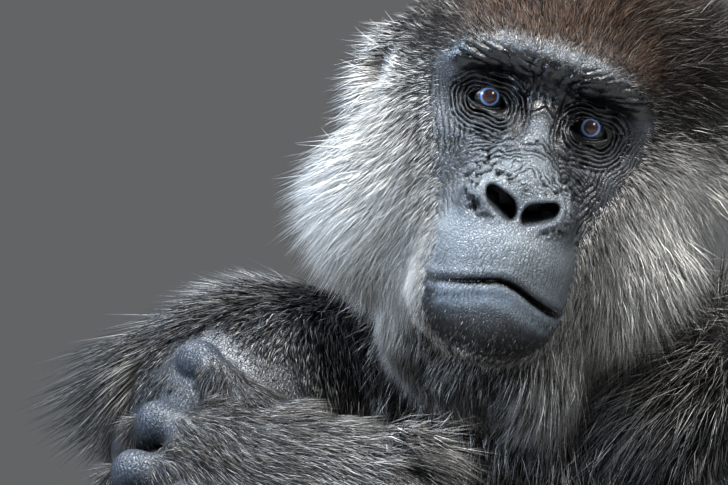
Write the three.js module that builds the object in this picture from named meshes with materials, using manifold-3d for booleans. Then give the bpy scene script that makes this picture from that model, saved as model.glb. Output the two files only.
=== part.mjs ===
// A life-size female western lowland gorilla, seated with its arms folded over drawn-up knees.
// Millimetres, +Z up, facing -Y, so its right side is at -X. The origin is the middle of the flat
// it sits on. Every solid is drawn out to the tips of the coat; the bare face, ears, hands and
// soles are drawn at the skin.

import * as THREE from 'three';
import { mergeVertices } from 'three/addons/utils/BufferGeometryUtils.js';
import Module from 'manifold-3d';

const wasm = await Module();
wasm.setup();

// ---------------------------------------------------------------- driving dimensions

const GAP = 0.35;                 // clearance between two neighbouring solids
const FLOOR = 0;                  // level of the rump and of both soles

// Head. Its own frame starts midway between the eyes: +X to its left, +Y back, +Z up the face.
const EYE_POINT = [20, -235, 790];
const HEAD_PITCH = 8;             // degrees, face turned down
const HEAD_ROLL = 16.9;           // degrees, crown leaning to its left
const HEAD_YAW = 5;               // degrees, face turned to its left
const EYE_SPACING = 66;
const EYE_RADIUS = 12;
const EYE_DEPTH = 12.5;           // eyeball centre behind the front of the cornea
const BROW_HALF_WIDTH = 62;
const NOSTRIL_SPACING = 25;
const MUZZLE_HALF_WIDTH = 50;
const MOUTH_HALF_WIDTH = 42.5;
const MOUTH_SHIFT = 7.5;          // the mouth is drawn a little to its left
const MOUTH_LEVEL = -100;
const MOUTH_FRONT = -71;
const RUFF_HALF_WIDTH = 134;
const EAR_HEIGHT = 54;
const EAR_WIDTH = 36;
const EAR_THICKNESS = 7;
const EAR_OFFSET = 92;            // ear's middle from the middle of the head
const EAR_DEPTH = 84;             // and behind the front of the eyes
const HEAD_SKEW = 9;              // shift to the left of what is behind the face

// Trunk
const HIP_LEVEL = 95;
const SHOULDER_LEVEL = 600;
const WAIST_LEVEL = 190;
const RIB_LEVEL = 390;
const PELVIS_HALF_WIDTH = 172;
const BELLY_HALF_WIDTH = 188;
const CHEST_HALF_WIDTH = 178;

// Arms, as joint centres; the radii include the coat
const RIGHT_SHOULDER = [-150, -92, 610];
const RIGHT_ELBOW = [-270, -262, 403];
const RIGHT_WRIST = [-4, -372, 452];
const LEFT_SHOULDER = [155, -92, 597];
const LEFT_ELBOW = [166, -322, 398];
const LEFT_WRIST = [-72, -262, 552];
const SHOULDER_RADIUS = 92;
const UPPER_ARM_RADIUS = 82;
const ELBOW_RADIUS = 64;
const FOREARM_RADIUS = 60;
const TUFT_ROOT = [-196, -66, 622];
const TUFT_ROOT_RADIUS = 54;
const TUFT_TIP = [-252, -44, 636];
const TUFT_TIP_RADIUS = 26;
const WRIST_RADIUS = 38;
const PALM_HALF_WIDTH = 46;
const PALM_HALF_THICKNESS = 21;
const WEB_SHARE = 0.45;           // of the first finger bones, covered by the palm's skin
const FINGER_RADIUS = 13.5;
const LEFT_SPREAD = [66, 14, -26, -60];       // middle joints along the arm, index to little finger
const LEFT_RAISE = [3, 1, 0, 0];  // middle and last joints off the arm
const RIGHT_SPREAD = [48, 16, -16, -48];
const RIGHT_RAISE = [0, 0, 0, 0];
const KNUCKLE_SHARE = 0.66;       // of that spread, at the knuckles
const FINGER_LENGTHS = [0.9, 1, 0.95, 0.8];   // index to little finger, as a share of the middle

// Legs
const HIP = [86, 8, 118];
const KNEE = [166, -222, 322];
const ANKLE = [128, -306, 74];
const THIGH_RADIUS = 112;
const KNEE_RADIUS = 78;
const CALF_RADIUS = 64;
const ANKLE_RADIUS = 44;
const FOOT_LENGTH = 245;
const FOOT_HALF_WIDTH = 46;
const FOOT_TURN_OUT = 12;         // degrees
const TOE_RADIUS = 12;
const TOE_SPACING = 22.5;

// ---------------------------------------------------------------- materials

const coatColour = { color: 0x2a2a2c, roughness: 0.9, metalness: 0 };
const cheekColour = { color: 0x6f6a64, roughness: 0.9, metalness: 0 };
const skinColour = { color: 0x33363b, roughness: 0.6, metalness: 0 };
const eyeColour = { color: 0x3a1f12, roughness: 0.08, metalness: 0 };

const material = (look) => new THREE.MeshStandardMaterial(look);

// ---------------------------------------------------------------- shape helpers

const vector = (point) => new THREE.Vector3(...point);
const radians = THREE.MathUtils.degToRad;
const mirrored = (point, side) => [side * point[0], point[1], point[2]];

function toSolid(geometry) {
  geometry.deleteAttribute('normal');
  geometry.deleteAttribute('uv');
  const merged = mergeVertices(geometry, 1e-4);
  return new wasm.Manifold(new wasm.Mesh({
    numProp: 3,
    vertProperties: new Float32Array(merged.attributes.position.array),
    triVerts: new Uint32Array(merged.index.array),
  }));
}

function toMesh(name, solid, look) {
  const { vertProperties, triVerts } = solid.getMesh();
  const geometry = new THREE.BufferGeometry();
  geometry.setAttribute('position', new THREE.BufferAttribute(vertProperties, 3));
  geometry.setIndex(new THREE.BufferAttribute(triVerts, 1));
  geometry.computeVertexNormals();
  const mesh = new THREE.Mesh(geometry, material(look));
  mesh.name = name;
  return mesh;
}

// An ellipsoid: centre, three radii and turns about X, Y and Z in degrees.
function blob(centre, radii, turn = [0, 0, 0], around = 14, rings = 8) {
  const geometry = new THREE.SphereGeometry(1, around, rings);
  geometry.rotateX(Math.PI / 2);
  geometry.scale(...radii);
  geometry.applyMatrix4(new THREE.Matrix4().makeRotationFromEuler(
    new THREE.Euler(...turn.map(radians), 'XYZ'),
  ));
  geometry.translate(...centre);
  return geometry;
}

// A round-ended limb along a smooth curve through the centres. Each station is
// [centre, radius along `side`, radius across it].
function limb(stations, side = [1, 0, 0], around = 12, rows = 0, caps = 2) {
  const path = new THREE.CatmullRomCurve3(stations.map((station) => vector(station[0])));
  const widths = new THREE.CatmullRomCurve3(
    stations.map((station) => new THREE.Vector3(station[1], station[2] ?? station[1], 0)),
  );
  const length = 2;
  const steps = rows || 2 * (stations.length - 1);
  const geometry = new THREE.CapsuleGeometry(1, length, caps, around, steps);
  const position = geometry.attributes.position;
  const point = new THREE.Vector3();
  for (let index = 0; index < position.count; index += 1) {
    point.fromBufferAttribute(position, index);
    const along = THREE.MathUtils.clamp(point.y / length + 0.5, 0, 1);
    const beyond = point.y - THREE.MathUtils.clamp(point.y, -length / 2, length / 2);
    const width = widths.getPoint(along);
    const tangent = path.getTangent(along);
    const across = vector(side).addScaledVector(tangent, -vector(side).dot(tangent)).normalize();
    const third = new THREE.Vector3().crossVectors(across, tangent);
    const place = path.getPoint(along)
      .addScaledVector(across, point.x * width.x)
      .addScaledVector(third, point.z * width.y)
      .addScaledVector(tangent, beyond * Math.min(width.x, width.y));
    position.setXYZ(index, place.x, place.y, place.z);
  }
  return geometry;
}

// Union of closed geometries, in one solid.
function joined(geometries) {
  return geometries.map(toSolid).reduce((whole, next) => whole.add(next));
}

function without(solid, others) {
  return others.reduce((rest, other) => rest.subtract(other), solid);
}

function box(low, high) {
  const size = high.map((value, axis) => value - low[axis]);
  const geometry = new THREE.BoxGeometry(...size);
  geometry.translate(...low.map((value, axis) => value + size[axis] / 2));
  return toSolid(geometry);
}

const underFloor = () => box([-600, -700, -300], [600, 400, FLOOR]);

// ---------------------------------------------------------------- head, in its own frame

const headGroup = new THREE.Group();
headGroup.position.set(...EYE_POINT);
headGroup.rotation.set(radians(HEAD_PITCH), radians(HEAD_ROLL), radians(HEAD_YAW), 'ZYX');
headGroup.updateMatrixWorld();

const ontoBody = (geometries) => geometries.map(
  (geometry) => geometry.clone().applyMatrix4(headGroup.matrixWorld),
);

// Hair of the crown, cheek ruff and beard, `grow` larger all round.
function headHair(grow) {
  const crown = blob([HEAD_SKEW, 102, 14], [119 + grow, 98 + grow, 102 + grow], [0, 0, 0], 14, 8);
  const ruff = blob([HEAD_SKEW, 78, -62], [RUFF_HALF_WIDTH + grow, 72 + grow, 88 + grow], [-8, 0, 0], 12, 7);
  const beard = blob([8, 52, -138], [84 + grow, 52 + grow, 66 + grow], [-14, 0, 0], 10, 5);
  return [crown, ruff, beard];
}

function skullFront() {
  return blob([0, 36, 4], [65, 44, 42], [0, 0, 0], 10, 6);
}

function brow() {
  const outer = BROW_HALF_WIDTH;
  return limb([
    [[-outer, 30, -12], 11, 11],
    [[-outer + 1, 16, 17], 11, 12],
    [[-outer * 0.68, 0, 31], 11, 13],
    [[0, -4, 32], 11, 13],
    [[outer * 0.68, 0, 31], 11, 13],
    [[outer - 1, 16, 17], 11, 12],
    [[outer, 30, -12], 11, 11],
  ], [0, 1, 0], 6, 10, 1);
}

function noseBridge() {
  return limb([
    [[0, 2, 16], 12, 10],
    [[0, -8, -8], 13, 11],
    [[0, -22, -30], 19, 13],
    [[0, -35, -46], 24, 14],
  ], [1, 0, 0], 8, 4, 1);
}

function noseWings() {
  return [-1, 1].map((side) => blob([side * 18, -42, -52], [14, 15, 13], [0, 0, side * 20], 8, 5));
}

function nostrils() {
  return [-1, 1].map((side) => blob(
    [side * NOSTRIL_SPACING / 2, -58, -54], [11, 11, 8], [20, side * 24, 0], 8, 4,
  ));
}

function muzzle(grow) {
  const upper = blob([0, -14, -84], [MUZZLE_HALF_WIDTH + grow, 57 + grow, 36 + grow], [6, 0, 0], 12, 6);
  const jaw = blob([0, 2, -116], [MUZZLE_HALF_WIDTH - 5 + grow, 60 + grow, 35 + grow], [-10, 0, 0], 12, 6);
  const cheeks = [-1, 1].map((side) => blob(
    [side * 34, 16, -44], [34 + grow, 32 + grow, 46 + grow], [8, 0, 0], 8, 4,
  ));
  return [upper, jaw, ...cheeks];
}

function mouthGroove() {
  const half = MOUTH_HALF_WIDTH;
  return limb([
    [[MOUTH_SHIFT - half, MOUTH_FRONT + 38, MOUTH_LEVEL - 9], 4, 1.6],
    [[MOUTH_SHIFT - half * 0.6, MOUTH_FRONT + 9, MOUTH_LEVEL - 3], 4, 1.6],
    [[0, MOUTH_FRONT, MOUTH_LEVEL], 4, 1.6],
    [[MOUTH_SHIFT + half * 0.6, MOUTH_FRONT + 9, MOUTH_LEVEL - 10], 4, 1.6],
    [[MOUTH_SHIFT + half, MOUTH_FRONT + 38, MOUTH_LEVEL - 12], 4, 1.6],
  ], [0, 1, 0], 5, 6, 1);
}

function eyeBall(side, grow = 0) {
  const size = EYE_RADIUS + grow;
  return blob([side * EYE_SPACING / 2, EYE_DEPTH, 0], [size, size, size], [0, 0, 0], 10, 6);
}

function eyeSocket(side) {
  return blob([side * (EYE_SPACING / 2 + 1), -9, -1], [20, 15, 14], [0, side * 8, 0], 8, 5);
}

function earShell(side) {
  const outline = new THREE.Shape();
  outline.absellipse(0, 0, EAR_WIDTH / 2, EAR_HEIGHT / 2, 0, 2 * Math.PI);
  const shell = new THREE.ExtrudeGeometry(outline, {
    depth: EAR_THICKNESS - 4,
    bevelEnabled: true,
    bevelThickness: 2,
    bevelSize: 2,
    bevelSegments: 1,
    curveSegments: 5,
  });
  shell.translate(0, 0, -EAR_THICKNESS / 2 + 2);
  return placeEar(shell, side);
}

// The shell stands on edge, its hollow facing out and forward.
function placeEar(geometry, side) {
  geometry.rotateX(Math.PI / 2);
  geometry.rotateZ(side * radians(58));
  geometry.rotateY(side * radians(-8));
  geometry.translate(side * EAR_OFFSET + HEAD_SKEW, EAR_DEPTH, -2);
  return geometry;
}

function earHollow(side) {
  return placeEar(blob([side * -1, 0, 8], [EAR_WIDTH * 0.33, EAR_HEIGHT * 0.36, 7.5], [0, 0, 0], 8, 5), side);
}

// Room left in the hair around each ear.
function earPocket(side, shrink) {
  const radii = [38 - shrink, 38 - shrink, 44 - shrink];
  const middle = side * (EAR_OFFSET + 27) + HEAD_SKEW;
  return blob([middle, EAR_DEPTH - 4, 1], radii, [0, 0, side * 10], 8, 5);
}

function head() {
  const flesh = [skullFront(), brow(), noseBridge(), ...noseWings(), ...muzzle(0)];
  const whole = joined([...headHair(0), ...flesh]);
  const openings = [...nostrils(), mouthGroove()];
  for (const side of [-1, 1]) {
    openings.push(eyeSocket(side), eyeBall(side, GAP), earPocket(side, 0));
  }
  return without(whole, openings.map(toSolid));
}

function ear(side) {
  const shell = toSolid(earShell(side)).subtract(toSolid(earHollow(side)));
  const hairRoom = joined(headHair(GAP)).subtract(toSolid(earPocket(side, GAP)));
  return shell.subtract(hairRoom);
}

// ---------------------------------------------------------------- trunk

function neckShape(grow) {
  return [limb([
    [[0, -18, SHOULDER_LEVEL - 12], 138 + grow, 104 + grow],
    [[2, -40, SHOULDER_LEVEL + 62], 122 + grow, 104 + grow],
    [[6, -82, SHOULDER_LEVEL + 138], 112 + grow, 100 + grow],
    [[14, -112, SHOULDER_LEVEL + 196], 94 + grow, 88 + grow],
  ], [1, 0, 0], 10, 3, 1)];
}

function trunkShape(grow) {
  const core = limb([
    [[0, 30, HIP_LEVEL], PELVIS_HALF_WIDTH + grow, 146 + grow],
    [[0, 6, 215], BELLY_HALF_WIDTH + grow, 170 + grow],
    [[0, -8, 345], BELLY_HALF_WIDTH + grow, 168 + grow],
    [[0, -20, 470], CHEST_HALF_WIDTH + grow, 154 + grow],
    [[0, -42, SHOULDER_LEVEL - 25], 156 + grow, 124 + grow],
  ], [1, 0, 0], 12, 5, 2);
  const buttocks = [-1, 1].map((side) => blob(
    [side * 78, 44, 84], [106 + grow, 122 + grow, 92 + grow], [0, 0, 0], 10, 6,
  ));
  const shoulderGirdle = limb([
    [[-140, -58, SHOULDER_LEVEL - 6], 84 + grow, 88 + grow],
    [[-66, -16, SHOULDER_LEVEL + 6], 88 + grow, 96 + grow],
    [[66, -16, SHOULDER_LEVEL + 6], 88 + grow, 96 + grow],
    [[145, -58, SHOULDER_LEVEL - 12], 84 + grow, 88 + grow],
  ], [0, 1, 0], 9, 3, 2);
  return [core, ...buttocks, shoulderGirdle];
}

// The trunk in three lengths, parted level with the waist and with the lowest ribs.
function trunkBand(low, high, cutters) {
  const slab = box([-400, -400, low], [400, 400, high]);
  return without(joined(trunkShape(0)).intersect(slab), cutters);
}

// ---------------------------------------------------------------- arms

function upperArmShape(shoulder, elbow, grow) {
  const middle = vector(shoulder).lerp(vector(elbow), 0.5).toArray();
  return [limb([
    [shoulder, SHOULDER_RADIUS + grow],
    [middle, UPPER_ARM_RADIUS + grow],
    [elbow, ELBOW_RADIUS + grow],
  ], [0, 1, 0], 10, 3, 2)];
}

// Long hair stands out behind the right shoulder.
function rightUpperArmShape(grow) {
  const tuft = limb([
    [TUFT_ROOT, TUFT_ROOT_RADIUS + grow],
    [TUFT_TIP, TUFT_TIP_RADIUS + grow],
  ], [0, 1, 0], 8, 3, 2);
  return [...upperArmShape(RIGHT_SHOULDER, RIGHT_ELBOW, grow), tuft];
}

function forearmShape(elbow, wrist, grow) {
  const belly = vector(elbow).lerp(vector(wrist), 0.4).toArray();
  const narrow = vector(elbow).lerp(vector(wrist), 0.82).toArray();
  return [limb([
    [elbow, ELBOW_RADIUS - 6 + grow],
    [belly, FOREARM_RADIUS + grow],
    [narrow, WRIST_RADIUS + 6 + grow],
    [wrist, WRIST_RADIUS + grow],
  ], [0, 1, 0], 9, 3, 1)];
}

// A frame for a hand: the middle finger's joints and the direction from little finger to index.
function gripRound(shoulder, elbow, joints, spread, raise) {
  const axis = vector(elbow).sub(vector(shoulder)).normalize();
  const forward = new THREE.Vector3(0, -1, 0);
  forward.addScaledVector(axis, -forward.dot(axis)).normalize();
  const outward = new THREE.Vector3().crossVectors(axis, forward);
  const line = joints.map(([share, angle, distance]) => vector(shoulder)
    .lerp(vector(elbow), share)
    .addScaledVector(forward, distance * Math.cos(radians(angle)))
    .addScaledVector(outward, distance * Math.sin(radians(angle))));
  const off = vector(shoulder).lerp(vector(elbow), joints[1][0]).sub(line[1]).normalize().negate();
  return { line, row: axis.clone().negate(), spread, raise, off };
}

// The left hand lies over the front of the right upper arm, fingers round its outer side.
const leftGrip = gripRound(RIGHT_SHOULDER, RIGHT_ELBOW, [
  [0.365, 6, 78],
  [0.37, 44, 76],
  [0.372, 80, 60],
  [0.378, 116, 57],
], LEFT_SPREAD, LEFT_RAISE);

// The right hand lies on the left forearm, fingers round the outer side of the elbow.
const rightGrip = {
  line: [[102, -384, 452], [152, -396, 438], [192, -382, 424], [218, -352, 414]].map(vector),
  row: new THREE.Vector3(0.05, -0.2, 0.98).normalize(),
  spread: RIGHT_SPREAD,
  raise: RIGHT_RAISE,
  off: new THREE.Vector3(0, -1, 0),
};

function fingerPath(grip, number) {
  const step = grip.spread[number];
  const reach = FINGER_LENGTHS[number];
  const knuckle = grip.line[0].clone().addScaledVector(grip.row, step * KNUCKLE_SHARE);
  const points = [knuckle];
  for (let joint = 1; joint < grip.line.length; joint += 1) {
    const bone = grip.line[joint].clone().sub(grip.line[joint - 1]);
    const spread = grip.row.clone().multiplyScalar(joint === 1 ? step * (1 - KNUCKLE_SHARE) : 0);
    if (joint === 1) {
      spread.addScaledVector(grip.off, grip.raise[number]);
    }
    points.push(points[joint - 1].clone().addScaledVector(bone, reach).add(spread));
  }
  return points;
}

function fingerShape(grip, number, grow) {
  const [knuckle, middle, last, tip] = fingerPath(grip, number).map((point) => point.toArray());
  return [limb([
    [knuckle, FINGER_RADIUS + 1 + grow],
    [middle, FINGER_RADIUS + grow],
    [last, FINGER_RADIUS - 1 + grow],
    [tip, FINGER_RADIUS - 3 + grow],
  ], [0, 0, 1], 6, 6, 1)];
}

function palmShape(grip, wrist, grow) {
  const knuckles = grip.line[0].clone();
  const middle = vector(wrist).lerp(knuckles, 0.5);
  const web = knuckles.clone().lerp(grip.line[1], WEB_SHARE);
  return [limb([
    [wrist, WRIST_RADIUS - 2 + grow, PALM_HALF_THICKNESS + 4 + grow],
    [middle.toArray(), PALM_HALF_WIDTH + grow, PALM_HALF_THICKNESS + 2 + grow],
    [knuckles.toArray(), PALM_HALF_WIDTH + grow, PALM_HALF_THICKNESS - 4 + grow],
    [web.toArray(), PALM_HALF_WIDTH + grow, PALM_HALF_THICKNESS - 7 + grow],
  ], grip.row.toArray(), 8, 4, 1)];
}

function thumbShape(points, grow) {
  const [root, middle, tip] = points;
  return [limb([
    [root, FINGER_RADIUS + 3 + grow],
    [middle, FINGER_RADIUS + grow],
    [tip, FINGER_RADIUS - 3 + grow],
  ], [0, 0, 1], 6, 4, 1)];
}

const leftThumb = [[-108, -216, 584], [-126, -194, 590], [-140, -178, 597]];
const rightThumb = [[22, -372, 492], [62, -358, 512], [92, -346, 516]];

// ---------------------------------------------------------------- legs

function thighShape(side, grow) {
  const hip = mirrored(HIP, side);
  const knee = mirrored(KNEE, side);
  const middle = vector(hip).lerp(vector(knee), 0.5).toArray();
  return [limb([
    [hip, THIGH_RADIUS - 6 + grow, THIGH_RADIUS + grow],
    [middle, THIGH_RADIUS - 14 + grow, THIGH_RADIUS - 2 + grow],
    [knee, KNEE_RADIUS + grow, KNEE_RADIUS + 2 + grow],
  ], [1, 0, 0], 10, 3, 2)];
}

function shinShape(side, grow) {
  const knee = mirrored(KNEE, side);
  const ankle = mirrored(ANKLE, side);
  const calf = vector(knee).lerp(vector(ankle), 0.4).toArray();
  calf[1] += 10;
  return [limb([
    [knee, KNEE_RADIUS - 6 + grow],
    [calf, CALF_RADIUS + grow, CALF_RADIUS + 4 + grow],
    [ankle, ANKLE_RADIUS + grow],
  ], [1, 0, 0], 10, 4, 2)];
}

// A point of the foot: how far along it from the heel, how far to its inner side, how high.
function footPoint(side, along, inner, height) {
  const turn = radians(FOOT_TURN_OUT);
  const heel = [ANKLE[0] - 2, ANKLE[1] + 42];
  return [
    side * (heel[0] + along * Math.sin(turn) - inner * Math.cos(turn)),
    heel[1] - along * Math.cos(turn) - inner * Math.sin(turn),
    height,
  ];
}

function footShape(side, grow) {
  const reach = FOOT_LENGTH - 62;
  return [limb([
    [footPoint(side, 18, 0, 24), 31 + grow, 30 + grow],
    [footPoint(side, 55, 0, 34), 36 + grow, 42 + grow],
    [footPoint(side, 110, 2, 24), 43 + grow, 32 + grow],
    [footPoint(side, reach - 18, 0, 16), FOOT_HALF_WIDTH + grow, 23 + grow],
  ], [1, 0, 0], 10, 5, 2)];
}

function toeShape(side, number, grow) {
  if (number === 0) {
    return [limb([
      [footPoint(side, 118, 34, 16), 17 + grow, 18 + grow],
      [footPoint(side, 158, 52, 13), 15 + grow, 15 + grow],
      [footPoint(side, 192, 57, 10), 13 + grow, 11 + grow],
    ], [1, 0, 0], 7, 3, 1)];
  }
  const inner = 49 - number * TOE_SPACING;
  const root = FOOT_LENGTH - 92 - Math.abs(number - 2) * 5;
  const length = 68 - Math.abs(number - 2) * 8;
  return [limb([
    [footPoint(side, root, inner, 18), TOE_RADIUS + grow],
    [footPoint(side, root + length * 0.62, inner - 1, 19), TOE_RADIUS + grow],
    [footPoint(side, root + length, inner - 2, 10), TOE_RADIUS - 3 + grow],
  ], [1, 0, 0], 6, 3, 1)];
}

// ---------------------------------------------------------------- assembly

// Each solid is cut by its neighbours' shapes, grown by the gap, so the first to be placed keeps
// its whole form: hands and face before arms, arms before trunk, feet before legs.

const gorilla = new THREE.Group();
gorilla.name = 'gorilla';
headGroup.name = 'head_group';
gorilla.add(headGroup);

const sides = { left: 1, right: -1 };
const fingerNames = ['index_finger', 'middle_finger', 'ring_finger', 'little_finger'];
const toeNames = ['big_toe', 'second_toe', 'third_toe', 'fourth_toe', 'little_toe'];

const headSolid = head();
headGroup.add(toMesh('head', headSolid, cheekColour));
for (const [name, side] of Object.entries(sides)) {
  headGroup.add(toMesh(`eye_${name}`, toSolid(eyeBall(side)), eyeColour));
}
for (const [name, side] of Object.entries(sides)) {
  headGroup.add(toMesh(`ear_${name}`, ear(side), skinColour));
}

const headRoom = joined(ontoBody([...headHair(GAP), ...muzzle(GAP)]));

function addHand(name, grip, wrist, thumb) {
  const rooms = [joined(palmShape(grip, wrist, GAP))];
  gorilla.add(toMesh(`hand_${name}`, joined(palmShape(grip, wrist, 0)), skinColour));
  fingerNames.forEach((finger, number) => {
    const solid = without(joined(fingerShape(grip, number, 0)), rooms);
    gorilla.add(toMesh(`${finger}_${name}`, solid, skinColour));
    rooms.push(joined(fingerShape(grip, number, GAP)));
  });
  gorilla.add(toMesh(`thumb_${name}`, without(joined(thumbShape(thumb, 0)), rooms), skinColour));
  rooms.push(joined(thumbShape(thumb, GAP)));
  return rooms;
}

const handRooms = {
  left: addHand('left', leftGrip, LEFT_WRIST, leftThumb),
  right: addHand('right', rightGrip, RIGHT_WRIST, rightThumb),
};
const allHands = [...handRooms.left, ...handRooms.right];

const leftForearm = without(joined(forearmShape(LEFT_ELBOW, LEFT_WRIST, 0)), allHands);
const leftForearmRoom = joined(forearmShape(LEFT_ELBOW, LEFT_WRIST, GAP));
gorilla.add(toMesh('forearm_left', leftForearm, coatColour));

const rightForearm = without(
  joined(forearmShape(RIGHT_ELBOW, RIGHT_WRIST, 0)),
  [...allHands, leftForearmRoom],
);
const rightForearmRoom = joined(forearmShape(RIGHT_ELBOW, RIGHT_WRIST, GAP));
gorilla.add(toMesh('forearm_right', rightForearm, coatColour));

const armBlockers = [...allHands, leftForearmRoom, rightForearmRoom, headRoom];
const leftUpper = without(joined(upperArmShape(LEFT_SHOULDER, LEFT_ELBOW, 0)), armBlockers);
gorilla.add(toMesh('upper_arm_left', leftUpper, coatColour));
const rightUpper = without(joined(rightUpperArmShape(0)), armBlockers);
gorilla.add(toMesh('upper_arm_right', rightUpper, coatColour));
const armRooms = [
  ...armBlockers,
  joined(upperArmShape(LEFT_SHOULDER, LEFT_ELBOW, GAP)),
  joined(rightUpperArmShape(GAP)),
];

gorilla.add(toMesh('neck', without(joined(neckShape(0)), armRooms), coatColour));
const upperRooms = [...armRooms, joined(neckShape(GAP))];

const legRooms = [];
for (const [name, side] of Object.entries(sides)) {
  const foot = joined(footShape(side, 0)).subtract(underFloor());
  gorilla.add(toMesh(`foot_${name}`, foot, skinColour));
  const footRooms = [underFloor(), joined(footShape(side, GAP))];
  toeNames.forEach((toe, number) => {
    const solid = without(joined(toeShape(side, number, 0)), footRooms);
    gorilla.add(toMesh(`${toe}_${name}`, solid, skinColour));
    footRooms.push(joined(toeShape(side, number, GAP)));
  });
  const shin = without(joined(shinShape(side, 0)), [...footRooms, ...armRooms]);
  gorilla.add(toMesh(`shin_${name}`, shin, coatColour));
  footRooms.push(joined(shinShape(side, GAP)));
  const thigh = without(joined(thighShape(side, 0)), [...footRooms, ...armRooms, ...legRooms]);
  gorilla.add(toMesh(`thigh_${name}`, thigh, coatColour));
  legRooms.push(...footRooms, joined(thighShape(side, GAP)));
}

const trunkCutters = [...upperRooms, ...legRooms];
gorilla.add(toMesh('pelvis', trunkBand(FLOOR, WAIST_LEVEL, trunkCutters), coatColour));
gorilla.add(toMesh('abdomen', trunkBand(WAIST_LEVEL + GAP, RIB_LEVEL, trunkCutters), coatColour));
gorilla.add(toMesh('chest', trunkBand(RIB_LEVEL + GAP, 900, trunkCutters), coatColour));

export default gorilla;
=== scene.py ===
import itertools
import math

import bpy
import numpy as np
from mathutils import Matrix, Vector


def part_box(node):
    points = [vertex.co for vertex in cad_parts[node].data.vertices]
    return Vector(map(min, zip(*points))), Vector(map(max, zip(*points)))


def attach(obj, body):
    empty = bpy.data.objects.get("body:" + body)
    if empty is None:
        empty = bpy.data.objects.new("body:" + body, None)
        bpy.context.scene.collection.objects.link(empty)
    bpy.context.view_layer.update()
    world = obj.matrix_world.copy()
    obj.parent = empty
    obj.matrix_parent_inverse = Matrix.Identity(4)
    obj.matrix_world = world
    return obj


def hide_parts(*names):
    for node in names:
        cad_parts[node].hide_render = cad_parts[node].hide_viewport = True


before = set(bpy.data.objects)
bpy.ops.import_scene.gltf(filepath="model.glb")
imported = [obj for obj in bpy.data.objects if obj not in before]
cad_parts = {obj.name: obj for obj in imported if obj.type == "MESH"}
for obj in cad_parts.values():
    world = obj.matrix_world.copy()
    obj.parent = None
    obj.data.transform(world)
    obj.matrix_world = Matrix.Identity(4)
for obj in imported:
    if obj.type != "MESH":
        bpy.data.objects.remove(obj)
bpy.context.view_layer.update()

import openvdb
from mathutils import Matrix, Vector
from mathutils.kdtree import KDTree

# A seated female gorilla. Lengths in this script are millimetres unless a name ends in _M;
# MM turns them into Blender's metres. The body faces -Y, its left side at +X, the floor at z = 0.

MM = 0.001

IMAGE_WIDTH, IMAGE_HEIGHT = 728, 485     # the photograph's frame, in pixels

# ------------------------------------------------------------------ driving sizes

# The head's own frame: origin midway between the eyes, +X to its left, +Y back, +Z up the face.
HEAD_PITCH, HEAD_ROLL, HEAD_YAW = 8.0, 16.9, 5.0    # degrees
HEAD_SKEW = 9.0          # shift to the left of the skull behind the face
EYE_HALF_SPACING = 33.0
EYE_RADIUS = 12.0
EYE_DEPTH = 12.5         # the eyeball's centre behind the front of the cornea
HEAD_REACH = 190.0       # of the head's own markings and folds

# Joint centres of the body
RIGHT_SHOULDER, RIGHT_ELBOW, RIGHT_WRIST = (-150, -92, 610), (-270, -262, 403), (-4, -372, 452)
LEFT_SHOULDER, LEFT_ELBOW, LEFT_WRIST = (155, -92, 597), (166, -322, 398), (-72, -262, 552)
HIP, KNEE, ANKLE = (86, 8, 118), (166, -222, 322), (128, -306, 74)
LEFT_SPREAD = (66, 14, -26, -60)            # middle joints along the arm, index to little finger
LEFT_RAISE = (3, 1, 0, 0)                   # middle and last joints off the arm
RIGHT_SPREAD = (48, 16, -16, -48)
RIGHT_RAISE = (0, 0, 0, 0)
KNUCKLE_SHARE = 0.66                        # of that spread, at the knuckles
FINGER_LENGTHS = (0.9, 1.0, 0.95, 0.8)      # index to little finger
FOOT_LENGTH = 245.0
FOOT_TURN_OUT = math.radians(12)
TOE_SPACING = 22.5

# The photograph's scale at the eyes, and where they are in its frame
PIXEL = 0.617                # millimetres
EYES_AT_PIXEL = (541.3, 113.4)
CAMERA_DISTANCE = 2800.0
SENSOR_WIDTH = 36.0


def node_centre(name):
    low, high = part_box(name)
    return (np.array(low) + np.array(high)) / 2 / MM


def rotation(pitch, roll, yaw):
    turns = Matrix.Rotation(math.radians(yaw), 3, "Z") @ Matrix.Rotation(math.radians(roll), 3, "Y")
    return np.array(turns @ Matrix.Rotation(math.radians(pitch), 3, "X"))


HEAD_TURN = rotation(HEAD_PITCH, HEAD_ROLL, HEAD_YAW)
EYE_CENTRES = {side: node_centre(f"eye_{side}") for side in ("left", "right")}
EYE_POINT = (EYE_CENTRES["left"] + EYE_CENTRES["right"]) / 2 - HEAD_TURN @ (0, EYE_DEPTH, 0)


def to_head(points):
    """The head's own frame, bent a little sideways behind the face, as the neck is."""
    h = (points - EYE_POINT) @ HEAD_TURN
    behind = np.clip((h[:, 1] - 10) / 80, 0, 1)
    h[:, 0] -= HEAD_SKEW * behind * behind * (3 - 2 * behind)
    return h


def from_head(points):
    return np.asarray(points, float) @ HEAD_TURN.T + EYE_POINT


# ------------------------------------------------------------------ distance fields

def unit(vectors):
    return vectors / np.maximum(np.linalg.norm(vectors, axis=-1, keepdims=True), 1e-9)


def direction(start, end):
    return unit(np.array(end, float) - start)


def toward(first, second, share):
    return first * (1 - share) + second * share


def mix(first, second, share):
    """Like toward, for a colour or a way at every place."""
    return toward(first, np.array(second), np.asarray(share)[..., None])


def nearest(points, places):
    """Distance to the nearest of a few places."""
    return np.sqrt(((points[:, None] - np.array(places)[None]) ** 2).sum(2).min(1))


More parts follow.
